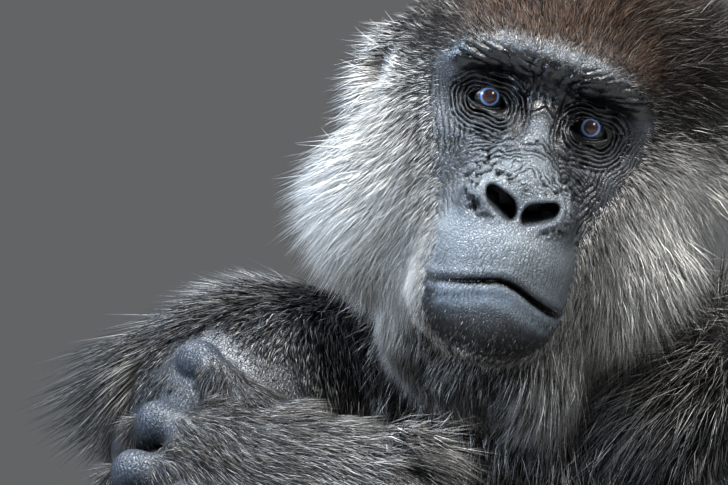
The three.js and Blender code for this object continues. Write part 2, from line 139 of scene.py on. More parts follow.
def ellipsoid(points, centre, radii, turn=None):
    local = points - np.array(centre, np.float32)
    if turn is not None:
        local = local @ np.array(Matrix.Rotation(math.radians(turn[0]), 3, turn[1]), np.float32)
    local = local / np.array(radii, np.float32)
    near = np.sqrt((local ** 2).sum(1))
    slope = np.sqrt(((local / np.array(radii, np.float32)) ** 2).sum(1))
    return near * (near - 1) / np.maximum(slope, 1e-6)


def limb(points, stations, wide=None, flatten=1.0):
    """Distance to a chain of tapered capsules. Stations are (x, y, z, radius). With flatten
    over 1 the section is that much wider along the axis `wide` than across it."""
    stations = np.array(stations, np.float32)
    axis = None
    if wide is not None:
        axis = np.array(wide, np.float32)
        axis = axis / np.linalg.norm(axis)
        points = squeeze(points, axis, flatten)
        stations = stations.copy()
        stations[:, :3] = squeeze(stations[:, :3], axis, flatten)
    best = None
    for start, end in zip(stations[:-1], stations[1:]):
        bone = end[:3] - start[:3]
        offset = points - start[:3]
        share = np.clip(offset @ bone / (bone @ bone), 0, 1)
        gap = offset - share[:, None] * bone
        distance = np.sqrt((gap ** 2).sum(1)) - (start[3] + share * (end[3] - start[3]))
        best = distance if best is None else np.minimum(best, distance)
    return best


def squeeze(points, axis, amount):
    return points - (points @ axis)[:, None] * axis * (1 - 1 / amount)


def blend(first, second, reach):
    overlap = np.maximum(reach - np.abs(first - second), 0) / reach
    return np.minimum(first, second) - overlap * overlap * reach / 4


def carve(solid, tool, reach):
    return -blend(-solid, tool, reach)


def blend_all(distances, reach):
    whole = distances[0]
    for distance in distances[1:]:
        whole = blend(whole, distance, reach)
    return whole


def bump(distance, width):
    """1 at zero distance, falling smoothly to 0 at `width`."""
    return np.clip(1 - (distance / width) ** 2, 0, 1) ** 2


def ramp(value, low, high):
    share = np.clip((value - low) / (high - low), 0, 1)
    return share * share * (3 - 2 * share)


def lattice(cells, seed):
    """A repeatable random number from 0 to 1 for each whole-numbered cell."""
    mixed = (cells[..., 0] * 374761393 + cells[..., 1] * 668265263
             + cells[..., 2] * 2147483647 + seed * 974634777) & 0xFFFFFFFF
    mixed = ((mixed ^ (mixed >> 13)) * 1274126177) & 0xFFFFFFFF
    return ((mixed ^ (mixed >> 16)) & 0xFFFF) / 65535.0


def noise(points, size, seed=0):
    """Smooth noise from -1 to 1 with bumps about `size` across (a number or three)."""
    places = np.asarray(points, float) / size
    cells = np.floor(places).astype(np.int64)
    share = places - cells
    share = share * share * (3 - 2 * share)
    total = np.zeros(len(places))
    for corner in range(8):
        step = np.array((corner & 1, corner >> 1 & 1, corner >> 2))
        weight = np.prod(np.where(step, share, 1 - share), axis=1)
        total += weight * lattice(cells + step, seed)
    return total * 2 - 1


# ------------------------------------------------------------------ the body under the coat

def mirror(point, side):
    return (side * point[0],) + tuple(point[1:])


def between(start, end, share):
    return tuple(np.array(start) + share * (np.array(end) - np.array(start)))


def trunk(points):
    parts = [
        ellipsoid(points, (0, 26, 112), (138, 118, 108)),
        ellipsoid(points, (-76, 44, 92), (80, 96, 84)),
        ellipsoid(points, (76, 44, 92), (80, 96, 84)),
        ellipsoid(points, (0, -6, 250), (154, 138, 130)),
        ellipsoid(points, (0, -10, 420), (148, 126, 160)),
        ellipsoid(points, (0, 14, 560), (118, 84, 88)),
        limb(points, [(-128, -66, 592, 54), (-60, -30, 606, 62), (60, -30, 604, 62), (132, -66, 582, 54)]),
        ellipsoid(points, (-58, -112, 520), (62, 34, 52)),
        ellipsoid(points, (58, -112, 516), (62, 34, 52)),
    ]
    body = blend_all(parts, 50)
    spine = limb(points, [(0, 162, 180, 10), (0, 152, 360, 10), (0, 122, 520, 10)])
    body = carve(body, spine - 4, 40)
    return carve(body, points[:, 2] - 9, 16)


def neck(points):
    return limb(points, [(0, -22, 610, 96), (4, -62, 690, 88), (12, -104, 770, 76)])


def upper_arm(points, shoulder, elbow, outward):
    deltoid = tuple(np.array(between(shoulder, elbow, 0.14)) + (outward * 10, 0, 10))
    bone = limb(points, [shoulder + (68,), between(shoulder, elbow, 0.42) + (58,), elbow + (43,)])
    return blend(bone, ellipsoid(points, deltoid, (66, 70, 72)), 24)


def forearm(points, elbow, wrist):
    return limb(points, [elbow + (41,), between(elbow, wrist, 0.32) + (44,),
                         between(elbow, wrist, 0.8) + (30,), wrist + (26,)])


def thigh(points, side):
    hip, knee = mirror(HIP, side), mirror(KNEE, side)
    return limb(points, [hip + (88,), between(hip, knee, 0.5) + (80,), knee + (58,)])


def shin(points, side):
    knee, ankle = mirror(KNEE, side), mirror(ANKLE, side)
    calf = between(knee, ankle, 0.36)
    calf = (calf[0], calf[1] + 12, calf[2])
    bone = limb(points, [knee + (52,), calf + (48,), ankle + (31,)])
    return blend(bone, ellipsoid(points, (knee[0], knee[1] - 10, knee[2] + 8), (54, 54, 54)), 20)


def foot_point(side, along, inner, height):
    """A point of the foot: how far from the heel, how far to its inner side, how high."""
    heel = (ANKLE[0] - 2, ANKLE[1] + 42)
    return (
        side * (heel[0] + along * math.sin(FOOT_TURN_OUT) - inner * math.cos(FOOT_TURN_OUT)),
        heel[1] - along * math.cos(FOOT_TURN_OUT) - inner * math.sin(FOOT_TURN_OUT),
        height,
    )


def toe_line(side, number):
    if number == 0:
        places = ((118, 34, 17, 16), (158, 51, 14, 14), (190, 56, 12, 12))
        return [foot_point(side, along, inner, height) + (radius,)
                for along, inner, height, radius in places]
    inner = 49 - number * TOE_SPACING
    root = FOOT_LENGTH - 92 - abs(number - 2) * 5
    length = 68 - abs(number - 2) * 8
    return [
        foot_point(side, root, inner, 20) + (12,),
        foot_point(side, root + length * 0.6, inner - 1, 20) + (11.5,),
        foot_point(side, root + length, inner - 2, 11) + (9.5,),
    ]


def foot(points, side):
    sole = limb(points, [
        foot_point(side, 20, 0, 27) + (26,),
        foot_point(side, 60, 0, 30) + (28,),
        foot_point(side, 110, 3, 25) + (24,),
        foot_point(side, FOOT_LENGTH - 84, 1, 19) + (18,),
    ], wide=(math.cos(FOOT_TURN_OUT), side * -math.sin(FOOT_TURN_OUT), 0), flatten=1.35)
    ball = ellipsoid(points, foot_point(side, 132, 26, 20), (24, 26, 19))
    instep = limb(points, [foot_point(side, 40, 0, 56) + (30,), foot_point(side, 104, 4, 30) + (20,)])
    body = blend_all([sole, ball, instep], 16)
    toes = [limb(points, toe_line(side, number)) for number in range(5)]
    toes = [blend(toe, body, 8) for toe in toes]
    return carve(blend_all([body] + toes, 1.5), points[:, 2] - 1.0, 3)


# ------------------------------------------------------------------ hands

def grip_round(shoulder, elbow, joints, spread, rise):
    """Joints of a middle finger laid round an upper arm, and the way from little finger to index.
    Each joint is (share along the arm, angle from its front, distance from its axis)."""
    axis = np.array(elbow, float) - shoulder
    down_arm = axis / np.linalg.norm(axis)
    forward = np.array((0, -1.0, 0)) + down_arm[1] * down_arm
    forward = forward / np.linalg.norm(forward)
    outward = np.cross(down_arm, forward)
    line = []
    for share, degrees, distance in joints:
        angle = math.radians(degrees)
        off_axis = distance * (math.cos(angle) * forward + math.sin(angle) * outward)
        line.append(np.array(shoulder) + share * axis + off_axis)
    off = line[1] - (np.array(shoulder) + joints[1][0] * axis)
    return line, -down_arm, spread, rise, off / np.linalg.norm(off)


LEFT_GRIP = grip_round(RIGHT_SHOULDER, RIGHT_ELBOW,
                       ((0.365, 6, 78), (0.37, 44, 76), (0.372, 80, 60), (0.378, 116, 57)),
                       LEFT_SPREAD, LEFT_RAISE)
RIGHT_ROW = np.array((0.05, -0.2, 0.98))
RIGHT_GRIP = ([np.array(point, float) for point in
               ((102, -384, 452), (152, -396, 438), (192, -382, 424), (218, -352, 414))],
              RIGHT_ROW / np.linalg.norm(RIGHT_ROW), RIGHT_SPREAD, RIGHT_RAISE, np.array((0, -1.0, 0)))
LEFT_THUMB = ((-108, -216, 584), (-126, -194, 590), (-140, -178, 597))
RIGHT_THUMB = ((22, -372, 492), (62, -358, 512), (92, -346, 516))


def finger_line(grip, number):
    """Four joints of one finger, from its root in the palm to its tip."""
    line, row, spread, rise, off = grip
    step = spread[number]
    points = [line[0] + row * step * KNUCKLE_SHARE]
    for joint in range(1, 4):
        fan = row * step * (1 - KNUCKLE_SHARE) + off * rise[number] if joint == 1 else 0
        points.append(points[-1] + (line[joint] - line[joint - 1]) * FINGER_LENGTHS[number] + fan)
    return points


def joints_of(grip, number):
    """One joint of each of the four fingers: 0 at the palm, 1 the knuckle, 3 the tip."""
    return np.array([finger_line(grip, finger)[number] for finger in range(4)])


def finger(points, joints):
    """Straight bones with domed knuckles between them."""
    knuckle, middle, last, tip = (tuple(joint) for joint in joints)
    bones = limb(points, [knuckle + (14,), between(knuckle, middle, 0.5) + (11.5,), middle + (12,),
                          between(middle, last, 0.5) + (11,), last + (11,), tip + (9.5,)])
    dome = np.minimum(ellipsoid(points, middle, (13.2, 13.2, 13.2)), ellipsoid(points, last, (12, 12, 12)))
    return blend(bones, dome, 4)


def hand(points, grip, wrist, thumb):
    line, row = grip[:2]
    middle = between(wrist, line[0], 0.55)
    palm = limb(points, [tuple(wrist) + (20,), middle + (19,), tuple(line[0]) + (14,)], row, 2.3)
    web = limb(points, [between(wrist, line[0], 0.75) + (15,), tuple(line[0]) + (13.5,),
                        between(line[0], line[1], 0.5) + (11.5,)], row, 3.3)
    palm = blend(palm, web, 12)
    fingers = [finger(points, finger_line(grip, number)) for number in range(4)]
    root, joint, tip = thumb
    thumb_shape = limb(points, [root + (15,), joint + (12.5,), tip + (10,)])
    return blend_all([blend_all([palm, blend(palm, thumb_shape, 8)], 1)]
                     + [blend(palm, one, 9) for one in fingers], 1.2)


# ------------------------------------------------------------------ the head under its hair

MOUTH_LINE = (       # sideways, up: from the right corner over the bow to the left corner
    (-42, -115), (-34.5, -112.6), (-23, -107.8), (-11, -103.2), (-2, -100), (5, -99.9),
    (13, -102.2), (24, -106.7), (35, -111), (44, -114), (49.5, -109.6),
)
MOUTH_MIDDLE, MOUTH_HALF = 9.0, 40.5
EAR_TURN = np.array(
    Matrix.Rotation(math.radians(-8), 3, "Y")
    @ Matrix.Rotation(math.radians(58), 3, "Z")
    @ Matrix.Rotation(math.radians(90), 3, "X")
)
EAR_CENTRE = np.array((92.0, 84.0, -2.0))
EYE_LOCAL = np.array((EYE_HALF_SPACING, EYE_DEPTH, 0.0))
FISSURE_SHIFT = 1.0      # of the lids' opening, to the animal's right
NOSTRIL_INNER, NOSTRIL_OUTER = 0.8, 24.8     # from the middle of the nose
NOSTRIL_TOP, NOSTRIL_BOTTOM = -51.4, -68.6   # heights where its edges would meet the middle
NOSTRIL_TOP_SLOPE, NOSTRIL_FLOOR_SLOPE = 0.34, 0.50      # how steeply they rise outwards
NOSTRIL_DEPTH = 11.0


def lid_edges(across):
    """Upper and lower edge of the open lids, heights over the eyeball's middle."""
    share = np.clip(1 - (across / 12.2) ** 2, 0, 1)
    return -3.0 + 10.2 * share ** 0.72, -3.4 - 4.6 * share ** 0.75


def fissure(h):
    """Signed distance, roughly, to the almond between the lids, seen from the front."""
    across = h[:, 0] - EYE_HALF_SPACING
    upper, lower = lid_edges(across)
    return np.maximum(h[:, 2] - upper, lower - h[:, 2])


def skull(h):
    parts = [
        ellipsoid(h, (0, 100, 18), (84, 88, 74)),
        ellipsoid(h, (0, 108, 48), (86, 76, 52)),
        ellipsoid(h, (62, 58, -12), (32, 44, 50)),
        ellipsoid(h, (52, 64, -72), (46, 52, 58)),
        ellipsoid(h, (0, 42, -4), (62, 38, 48)),
    ]
    return blend_all(parts, 26)


def ear(h):
    local = (h - EAR_CENTRE) @ EAR_TURN
    ring = np.sqrt((local[:, 0] / 16) ** 2 + (local[:, 1] / 25) ** 2)
    plate = ellipsoid(local, (0, 0, -1), (17, 26, 4.2))
    off_ring = (ring - 1) * 19
    rim = np.sqrt(off_ring ** 2 + (local[:, 2] - 0.6) ** 2) - 3.0
    lobe = ellipsoid(local, (-6, -22, 0), (8, 8, 4.5))
    tragus = ellipsoid(local, (-12, -4, 2.5), (4, 6, 3.5))
    fold = limb(local, [(4, 15, 1.5, 2.4), (8, 2, 1.8, 2.6), (3, -13, 1.5, 2.6)])
    shell = blend_all([plate, rim, lobe, tragus, fold], 2.5)
    root = ellipsoid(local, (-13, -2, -9), (16, 20, 11))
    shell = blend(shell, root, 6)
    return carve(shell, ellipsoid(local, (-4, -3, 4.5), (7, 10, 6)), 2)


def mouth_height(x):
    return np.interp(x, *zip(*MOUTH_LINE))


def slit_share(x):
    """How far the mouth's slit is open, narrower towards the corners."""
    return 1 - 0.7 * ramp(np.abs(x - MOUTH_MIDDLE), MOUTH_HALF - 16, MOUTH_HALF)


def nose(h, m):
    parts = [
        ellipsoid(h, (0, 12, -22), (29, 27, 36)),
        ellipsoid(h, (0, -8, -34), (27, 26, 26)),
        ellipsoid(h, (0, -32, -45), (27, 18, 14)),
        ellipsoid(m, (19, -38, -55), (15, 14.5, 13.5)),
    ]
    return blend(blend_all(parts, 12), ellipsoid(h, (0, 1, -6), (9.5, 16, 10)), 6)


def nostril(m):
    """Signed distance, across the view, to the slanting opening of a nostril."""
    x, z = m[:, 0], m[:, 2]
    under_top = -(z - NOSTRIL_TOP - NOSTRIL_TOP_SLOPE * x) * 0.95
    over_floor = above_nostril_floor(m) * 0.89
    return -blend_all([x - NOSTRIL_INNER, NOSTRIL_OUTER - x, under_top, over_floor], 8.0)


def above_nostril_floor(m):
    return m[:, 2] - NOSTRIL_BOTTOM - NOSTRIL_FLOOR_SLOPE * m[:, 0]


def head(h):
    """The bare head as a distance field in its own frame."""
    x, y, z = h.T
    m = h.copy()
    m[:, 0] = np.abs(x)
    bone = skull(m)
    cheek = ellipsoid(m, (38, 22, -42), (34, 32, 46))
    muzzle = ellipsoid(h, (1, -6, -88), (47, 60, 42))
    jaw = ellipsoid(h, (3, 2, -121), (45, 62, 32), (6, "X"))
    flesh = blend(blend(bone, cheek, 18), blend(muzzle, jaw, 26), 22)
    brow = limb(m, [(0, -2, 31, 13), (28, -2, 32, 13), (48, 4, 27, 12.5), (61, 15, 13, 11),
                    (64, 28, -4, 9)])
    forehead = limb(m, [(0, 18, 38, 14), (44, 24, 33, 14)])
    flesh = blend(blend(flesh, forehead, 20), brow, 16)
    flesh = carve(flesh, ellipsoid(m, (34, -8, 2), (22, 17, 15)), 10)
    flesh = carve(flesh, ellipsoid(m, (14, -16, 6), (8, 12, 12)), 7)
    flesh = blend(flesh, nose(h, m), 16)
    flesh = blend(flesh, ellipsoid(m, EYE_LOCAL, (15.1, 13.3, 13.8)), 5)
    depth = 1.5 + (NOSTRIL_DEPTH - 1.5) * ramp(above_nostril_floor(m), -1, 6)
    hole = np.maximum(np.maximum(nostril(m), -flesh - depth), m[:, 1] + 26)
    flesh = carve(flesh, hole, 3.2)
    level = z - mouth_height(x)
    lip = np.abs(np.abs(level) - 5.0)
    on_mouth = ramp(-y, 22, 44)
    flesh = flesh - 1.3 * bump(lip, 5.5) * on_mouth
    slit = np.maximum(np.abs(level) - 1.6 * slit_share(x), -flesh - 7.0)
    slit = np.maximum(slit, np.maximum(np.abs(x - MOUTH_MIDDLE) - MOUTH_HALF, y + 18))
    flesh = carve(flesh, slit, 2.0)
    flesh = blend(flesh, ear(m), 7)
    shifted = m + np.stack([FISSURE_SHIFT * np.sign(x), 0 * x, 0 * x], 1)
    opening = np.maximum(fissure(shifted), m[:, 1] - EYE_DEPTH - 2)
    flesh = carve(flesh, opening, 1.4)
    return blend(flesh, ellipsoid(m, EYE_LOCAL, (EYE_RADIUS - 0.9,) * 3), 1.0)


FOLD_DEPTHS = (2.2, 0.7, 0.55, 1.2, 1.2, 0.18)      # one for each field of fold_lines


def groove(phase, sharpness=1.8):
    """1 at every whole number of the phase, falling off quickly between them."""
    return (1 - np.abs(np.sin(math.pi * phase))) ** sharpness


def eye_rings(h):
    """Folds running round both eyes: distance out from the lids, and how deep they are cut."""
    x, y, z = h.T
    across = np.abs(x) - EYE_HALF_SPACING - 0.5
    up = z + 2.5
    height = np.where(up > 0, up * 1.12, up * 0.92)
    out = np.hypot(np.maximum(np.abs(across) - 6.5, 0), height) - 5.4
    wobble = out + 1.2 * noise(h, 11, 1) + 0.5 * noise(h, 4.2, 2)
    spacing = np.where(up > 4, 3.2, 2.7)
    wobble = wobble + 1.8 * (1 - np.exp(-np.maximum(out, 0) / 2.5))
    depth = ramp(out, 0.1, 1.2) * (1 - ramp(out, 11.5, 17)) * (1 - ramp(y, 16, 26))
    depth = depth * np.clip(0.82 + 0.8 * noise(h, 5, 3), 0.15, 1.2) * np.where(up > 4, 0.75, 1.0)
    return out, wobble / spacing, depth


def fold_lines(h):
    """The creases of the face as fields: each one's phase, a whole number at every crease, and
    its strength from 0 to 1."""
    out, ring_phase, ring_depth = eye_rings(h)
    away = ramp(out, 8, 14)
    x, y, z = h.T
    front = 1 - ramp(y, 14, 34)
    side = np.sqrt(x * x + 40)
    level = z - mouth_height(x)
    broken = np.clip(0.80 + 1.0 * noise(h, (13, 13, 9), 21), 0.15, 1.2)
    # crow's feet and cheek lines, running down and out
    lean = side - 0.38 * z + 4.5 * noise(h, 15, 5) + 1.0 * noise(h, 4, 22)
    cheek = ramp(side, 34, 46) * ramp(-z, -10, 4) * (1 - ramp(-z, 58, 92)) * away * front
    # arched lines over the bridge of the nose and down its flanks
    arch = z + 0.75 * side + 3.4 * noise(h, 11, 6) + 1.3 * noise(h, 3.5, 7)
    bridge = ramp(-z, 4, 12) * (1 - ramp(-z, 38, 50)) * (1 - ramp(side, 32, 44)) * away
    # upright creases between the brows
    frown = x + 5.0 * noise(h, 16, 10) + 1.2 * noise(h, 5, 23)
    between_brows = (1 - ramp(side, 12, 24)) * ramp(z, 5, 10) * (1 - ramp(z, 30, 37))
    # slanting ones on the brow
    slant = z - 0.45 * side + 6 * noise(h, 19, 11) + 1.5 * noise(h, 6, 24)
    under = ramp(side, 12, 22) * ramp(z, 14, 19) * (1 - ramp(z, 32, 40)) * (1 - ramp(side, 54, 64)) * front
    # upright lines towards the mouth and down the lip
    lip = x + 4.0 * noise(h, (14, 14, 18), 16) + 1.1 * noise(h, 4, 27) + 0.10 * level * np.sign(x)
    on_lip = (1 - ramp(np.abs(level - 6), 12, 34)) * ramp(-y, 6, 30)
    phases = (ring_phase, lean / 3.3, arch / 3.1, frown / 6.5, slant / 5.4, lip / 2.4)
    strengths = (1.2 * ring_depth, cheek * broken, 0.95 * bridge * broken, between_brows * broken,
                 0.9 * under * broken, 0.34 * on_lip * np.clip(broken - 0.30, 0, 1))
    return phases, strengths


def wing_pits(h):
    return np.maximum(noise(h, 2.5, 13) - 0.05, 0) + np.maximum(noise(h, 3.8, 14) - 0.1, 0)


def skin_folds(h):
    """Height of the relief of the face over the smooth skin, in millimetres."""
    out = eye_rings(h)[0]
    phases, strengths = fold_lines(h)
    relief = np.zeros(len(h))
    for phase, strength, depth in zip(phases, strengths, FOLD_DEPTHS):
        relief -= depth * groove(phase, 1.4) * strength
    x, y, z = h.T
    front = 1 - ramp(y, 14, 30)
    side = np.abs(x)
    relief -= 1.3 * bump(out - 14.2 + noise(h, 9, 4), 2.0) * ramp(-z, 2, 9)
    under_brow = ramp(z, 2, 8) * (1 - ramp(z, 30, 36)) * (1 - ramp(side, 50, 62)) * ramp(out, 3, 8)
    relief += 0.8 * noise(h, (13, 13, 5), 26) * under_brow
    # the fold over the root of the nose
    relief -= 2.2 * bump(side - 13, 6) * ramp(z, -22, -8) * (1 - ramp(z, 4, 12)) * ramp(out, 2, 5)
    root = np.abs(z + 0.8 * side - 3.5 + 0.8 * noise(h, 5, 9))
    relief += 1.5 * bump(root, 3.0) * (1 - ramp(side, 9, 15)) * ramp(-y, 2, 8)
    # deep folds down both flanks of the nose
    for start, slope, depth in ((8, 0.42, 1.5), (14, 0.50, 1.0)):
        flank = bump(side - start + slope * z + 1.6 * noise(h, 12, 25), 2.2)
        relief -= depth * flank * ramp(-z, 0, 7) * (1 - ramp(-z, 36, 56)) * ramp(out, 3, 8)
    # pits and short creases round the wings of the nose
    wing = nostril(np.stack([side, y, z], 1)) + 1.2 * noise(h, 4, 12)
    on_wing = bump(wing - 7.5, 6) * ramp(-y, 8, 20) * ramp(z, -72, -62) * ramp(side, 6, 13)
    relief -= 5.4 * wing_pits(h) * on_wing
    spokes = np.arctan2(z + 54, side - 6) * 6.4 + 0.9 * noise(h, 4, 15)
    relief -= 0.7 * groove(spokes) * on_wing
    # groove down the upper lip
    below_nose = ramp(-z, 66, 72) * (1 - ramp(-z, 90, 98)) * ramp(-y, 30, 50)
    relief -= 0.5 * bump(x - 0.6 - noise(h, 14, 17), 1.3) * below_nose
    # leathery unevenness everywhere on the front of the head
    relief += front * (0.25 * noise(h, 5.5, 18) + 0.16 * noise(h, 2.4, 19))
    return relief * ramp(out, -1.5, 1.2)


def throat(h):
    under_chin = ellipsoid(h, (8, 62, -136), (62, 38, 50))
    return blend(limb(h, [(0, 58, -106, 54), (0, 92, -40, 74)]), under_chin, 24)


# ------------------------------------------------------------------ the whole skin

FAR = 1e3
VOXEL = 4.0              # grid the skin is first drawn on
COARSE = 4               # voxels to one cell of the first, rough look


def near(points, centre, reach, distance):
    """distance(points) where they are within reach of the centre, and far off elsewhere."""
    result = np.full(len(points), FAR, np.float32)
    close = ((points - np.array(centre, np.float32)) ** 2).sum(1) < reach ** 2
    if close.any():
        result[close] = distance(points[close])
    return result


def joined_limb(trunk_distance, first, second, root_reach, joint_reach):
    """A limb of two parts, the first grown from the trunk, the second from the first."""
    return np.minimum(blend(trunk_distance, first, root_reach), blend(first, second, joint_reach))


def skin_field(points):
    """Signed distance to the skin of the whole animal."""
    points = points.astype(np.float32)
    core = blend(trunk(points), neck(points), 60)
    bare_head = near(points, (20, -160, 760), 330, lambda some: blend(
        head(to_head(some).astype(np.float32)), throat(to_head(some).astype(np.float32)), 16))
    core = blend(core, bare_head, 20)
    right_hand = near(points, (100, -372, 450), 240,
                      lambda some: hand(some, RIGHT_GRIP, RIGHT_WRIST, RIGHT_THUMB))
    left_hand = near(points, (-150, -220, 590), 220,
                     lambda some: hand(some, LEFT_GRIP, LEFT_WRIST, LEFT_THUMB))
    right_fore = blend(forearm(points, RIGHT_ELBOW, RIGHT_WRIST), right_hand, 10)
    left_fore = blend(forearm(points, LEFT_ELBOW, LEFT_WRIST), left_hand, 10)
    pieces = [
        joined_limb(core, upper_arm(points, RIGHT_SHOULDER, RIGHT_ELBOW, -1), right_fore, 44, 26),
        joined_limb(core, upper_arm(points, LEFT_SHOULDER, LEFT_ELBOW, 1), left_fore, 44, 26),
    ]
    for side in (-1, 1):
        sole = near(points, mirror((150, -370, 40), side), 230,
                    lambda some, side=side: foot(some, side))
        lower = blend(shin(points, side), sole, 16)
        pieces.append(joined_limb(core, thigh(points, side), lower, 44, 30))
    return blend_all(pieces, 2)


def in_chunks(points, field, size=400000):
    return np.concatenate([field(points[start:start + size]) for start in range(0, len(points), size)])


def grid_points(low, step, shape):
    axes = [low[axis] + step * np.arange(shape[axis]) for axis in range(3)]
    return np.stack(np.meshgrid(*axes, indexing="ij"), -1)


def first_mesh(field, low, high):
    """Triangles of the zero level. Only cells near the surface are worked out finely."""
    low = np.array(low, float)
    cell = VOXEL * COARSE
    shape = np.ceil((np.array(high) - low) / cell).astype(int)
    middles = grid_points(low + cell / 2 - VOXEL / 2, cell, shape)
    rough = in_chunks(middles.reshape(-1, 3), field).reshape(shape)
    values = rough.repeat(COARSE, 0).repeat(COARSE, 1).repeat(COARSE, 2).astype(np.float32)
    close = np.abs(values) < cell * 1.35
    places = np.argwhere(close)
    values[close] = in_chunks(low + places * VOXEL, field)
    grid = openvdb.FloatGrid(float(values.max()))
    grid.copyFromArray(values)
    points, triangles, quads = grid.convertToPolygons(isovalue=0.0, adaptivity=0.0)
    triangles = np.concatenate([np.asarray(triangles).reshape(-1, 3),
                                quads[:, [0, 1, 2]], quads[:, [0, 2, 3]]]).astype(np.int64)
    return points * VOXEL + low, triangles


def gradient(points, field, step=0.4):
    """Slope of the field from four neighbours at the corners of a tetrahedron."""
    slope = np.zeros_like(points)
    for corner in ((1, -1, -1), (-1, -1, 1), (-1, 1, -1), (1, 1, 1)):
        way = np.array(corner, float)
        slope += way * in_chunks(points + way * step, field)[:, None]
    return slope / (4 * step)


def onto_surface(points, field, rounds=2):
    for _ in range(rounds):
        slope = gradient(points, field)
        steep = np.maximum((slope ** 2).sum(1), 0.16)
        shift = slope * (in_chunks(points, field) / steep)[:, None]
        length = np.linalg.norm(shift, axis=1)
        points = points - shift * np.minimum(1, 4.0 / np.maximum(length, 1e-6))[:, None]
    return points


# The triangles made of one with its first, first two or all edges cut. Its corners are 0 to 2,
# and the middles of its edges 3 to 5.
CUT_TRIANGLES = (
    ((0, 3, 2), (3, 1, 2)),
    ((3, 1, 4), (0, 3, 4), (0, 4, 2)),
    ((0, 3, 5), (3, 1, 4), (5, 4, 2), (3, 4, 5)),
)


def split_long_edges(points, triangles, target):
    """Cuts every edge longer than target(middle) in half, and the triangles to match.
    Returns the new points, triangles and the first new point, or None when nothing is long."""
    pairs = np.sort(triangles[:, [0, 1, 1, 2, 2, 0]].reshape(-1, 2), axis=1)
    edges, index = np.unique(pairs, axis=0, return_inverse=True)
    index = index.reshape(-1, 3)
    middles = points[edges].mean(1)
    lengths = np.linalg.norm(points[edges[:, 0]] - points[edges[:, 1]], axis=1)
    long = lengths > target(middles)
    if not long.any():
        return None
    number = np.full(len(edges), -1)
    number[long] = len(points) + np.arange(long.sum())
    nodes = np.concatenate([triangles, number[index]], axis=1)
    count = (nodes[:, 3:] >= 0).sum(1)
    made = [triangles[count == 0]]
    for cuts, pieces in enumerate(CUT_TRIANGLES, 1):
        for turn in range(3 if cuts < 3 else 1):
            turned = np.concatenate([np.roll(nodes[:, :3], -turn, 1), np.roll(nodes[:, 3:], -turn, 1)], 1)
            chosen = (count == cuts) & (turned[:, 3:3 + cuts] >= 0).all(1)
            made += [turned[chosen][:, piece] for piece in pieces]
    return np.concatenate([points, middles[long]]), np.concatenate(made), len(points)


def relaxed(points, triangles, share):
    """Points moved by a share of the way to the middle of their neighbours."""
    pairs = np.concatenate([triangles[:, [0, 1]], triangles[:, [1, 2]], triangles[:, [2, 0]]])
    total = np.zeros_like(points)
    for axis in range(3):
        total[:, axis] = np.bincount(pairs[:, 0], points[pairs[:, 1], axis], len(points))
    count = np.maximum(np.bincount(pairs[:, 0], minlength=len(points)), 1)
    return points * (1 - share) + total / count[:, None] * share


# ------------------------------------------------------------------ mesh objects and materials

def mesh_object(name, points, triangles):
    """A smooth mesh object from points in millimetres."""
    faces = np.asarray(triangles, np.int32)
    mesh = bpy.data.meshes.new(name)
    mesh.vertices.add(len(points))
    mesh.vertices.foreach_set("co", (np.asarray(points, np.float32) * MM).ravel())
    mesh.loops.add(faces.size)
    mesh.loops.foreach_set("vertex_index", faces.ravel())
    mesh.polygons.add(len(faces))
    mesh.polygons.foreach_set("loop_start", np.arange(0, faces.size, 3, dtype=np.int32))
    mesh.update(calc_edges=True)
    mesh.polygons.foreach_set("use_smooth", np.ones(len(faces), bool))
    thing = bpy.data.objects.new(name, mesh)
    bpy.context.scene.collection.objects.link(thing)
    return thing


def split_quads(a, b, c, d):
    """Two triangles for each four-cornered face."""
    return np.stack([a, b, c, a, c, d], -1).reshape(-1, 3)


def set_tint(thing, colours):
    opaque = np.concatenate([colours, np.ones((len(colours), 1))], 1)
    set_attribute(thing, "tint", "FLOAT_COLOR", opaque)


def set_attribute(thing, name, kind, values):
    field = {"FLOAT_COLOR": "color", "FLOAT_VECTOR": "vector", "FLOAT": "value"}[kind]
    attribute = thing.data.attributes.new(name, kind, "POINT")
    attribute.data.foreach_set(field, np.asarray(values, np.float32).ravel())


def read(items, field, width, kind=np.float32):
    values = np.empty(len(items) * width, kind)
    items.foreach_get(field, values)
    return values.reshape(-1, width)


def mesh_points(thing):
    return read(thing.data.vertices, "co", 3).astype(float) / MM


def point_normals(thing):
    return read(thing.data.vertex_normals, "vector", 3).astype(float)


def mesh_triangles(thing):
    thing.data.calc_loop_triangles()
    return read(thing.data.loop_triangles, "vertices", 3, np.int32).astype(np.int64)


# ------------------------------------------------------------------ the skin mesh

def ear_distance(h):
    return np.linalg.norm(np.abs(h * (1, 0, 0)) + h * (0, 1, 1) - EAR_CENTRE, axis=1)


def on_bare_face(h, margin=0.0):
    width = 62 - 12 * ramp(-h[:, 2], 20, 80)
    return ((np.abs(h[:, 0]) < width + margin) & (h[:, 1] < 16 + margin)
            & (h[:, 2] < 50 + margin) & (h[:, 2] > -152 - margin))


# Longest edges of the skin's mesh
BODY_EDGES, TOE_EDGES, RIGHT_FINGER_EDGES, LEFT_FINGER_EDGES, KNUCKLE_EDGES = 15.0, 5.7, 4.1, 2.9, 2.1
FACE_EDGES, EAR_EDGES, NOSE_EDGES, LID_EDGES = 2.1, 2.9, 1.5, 1.05


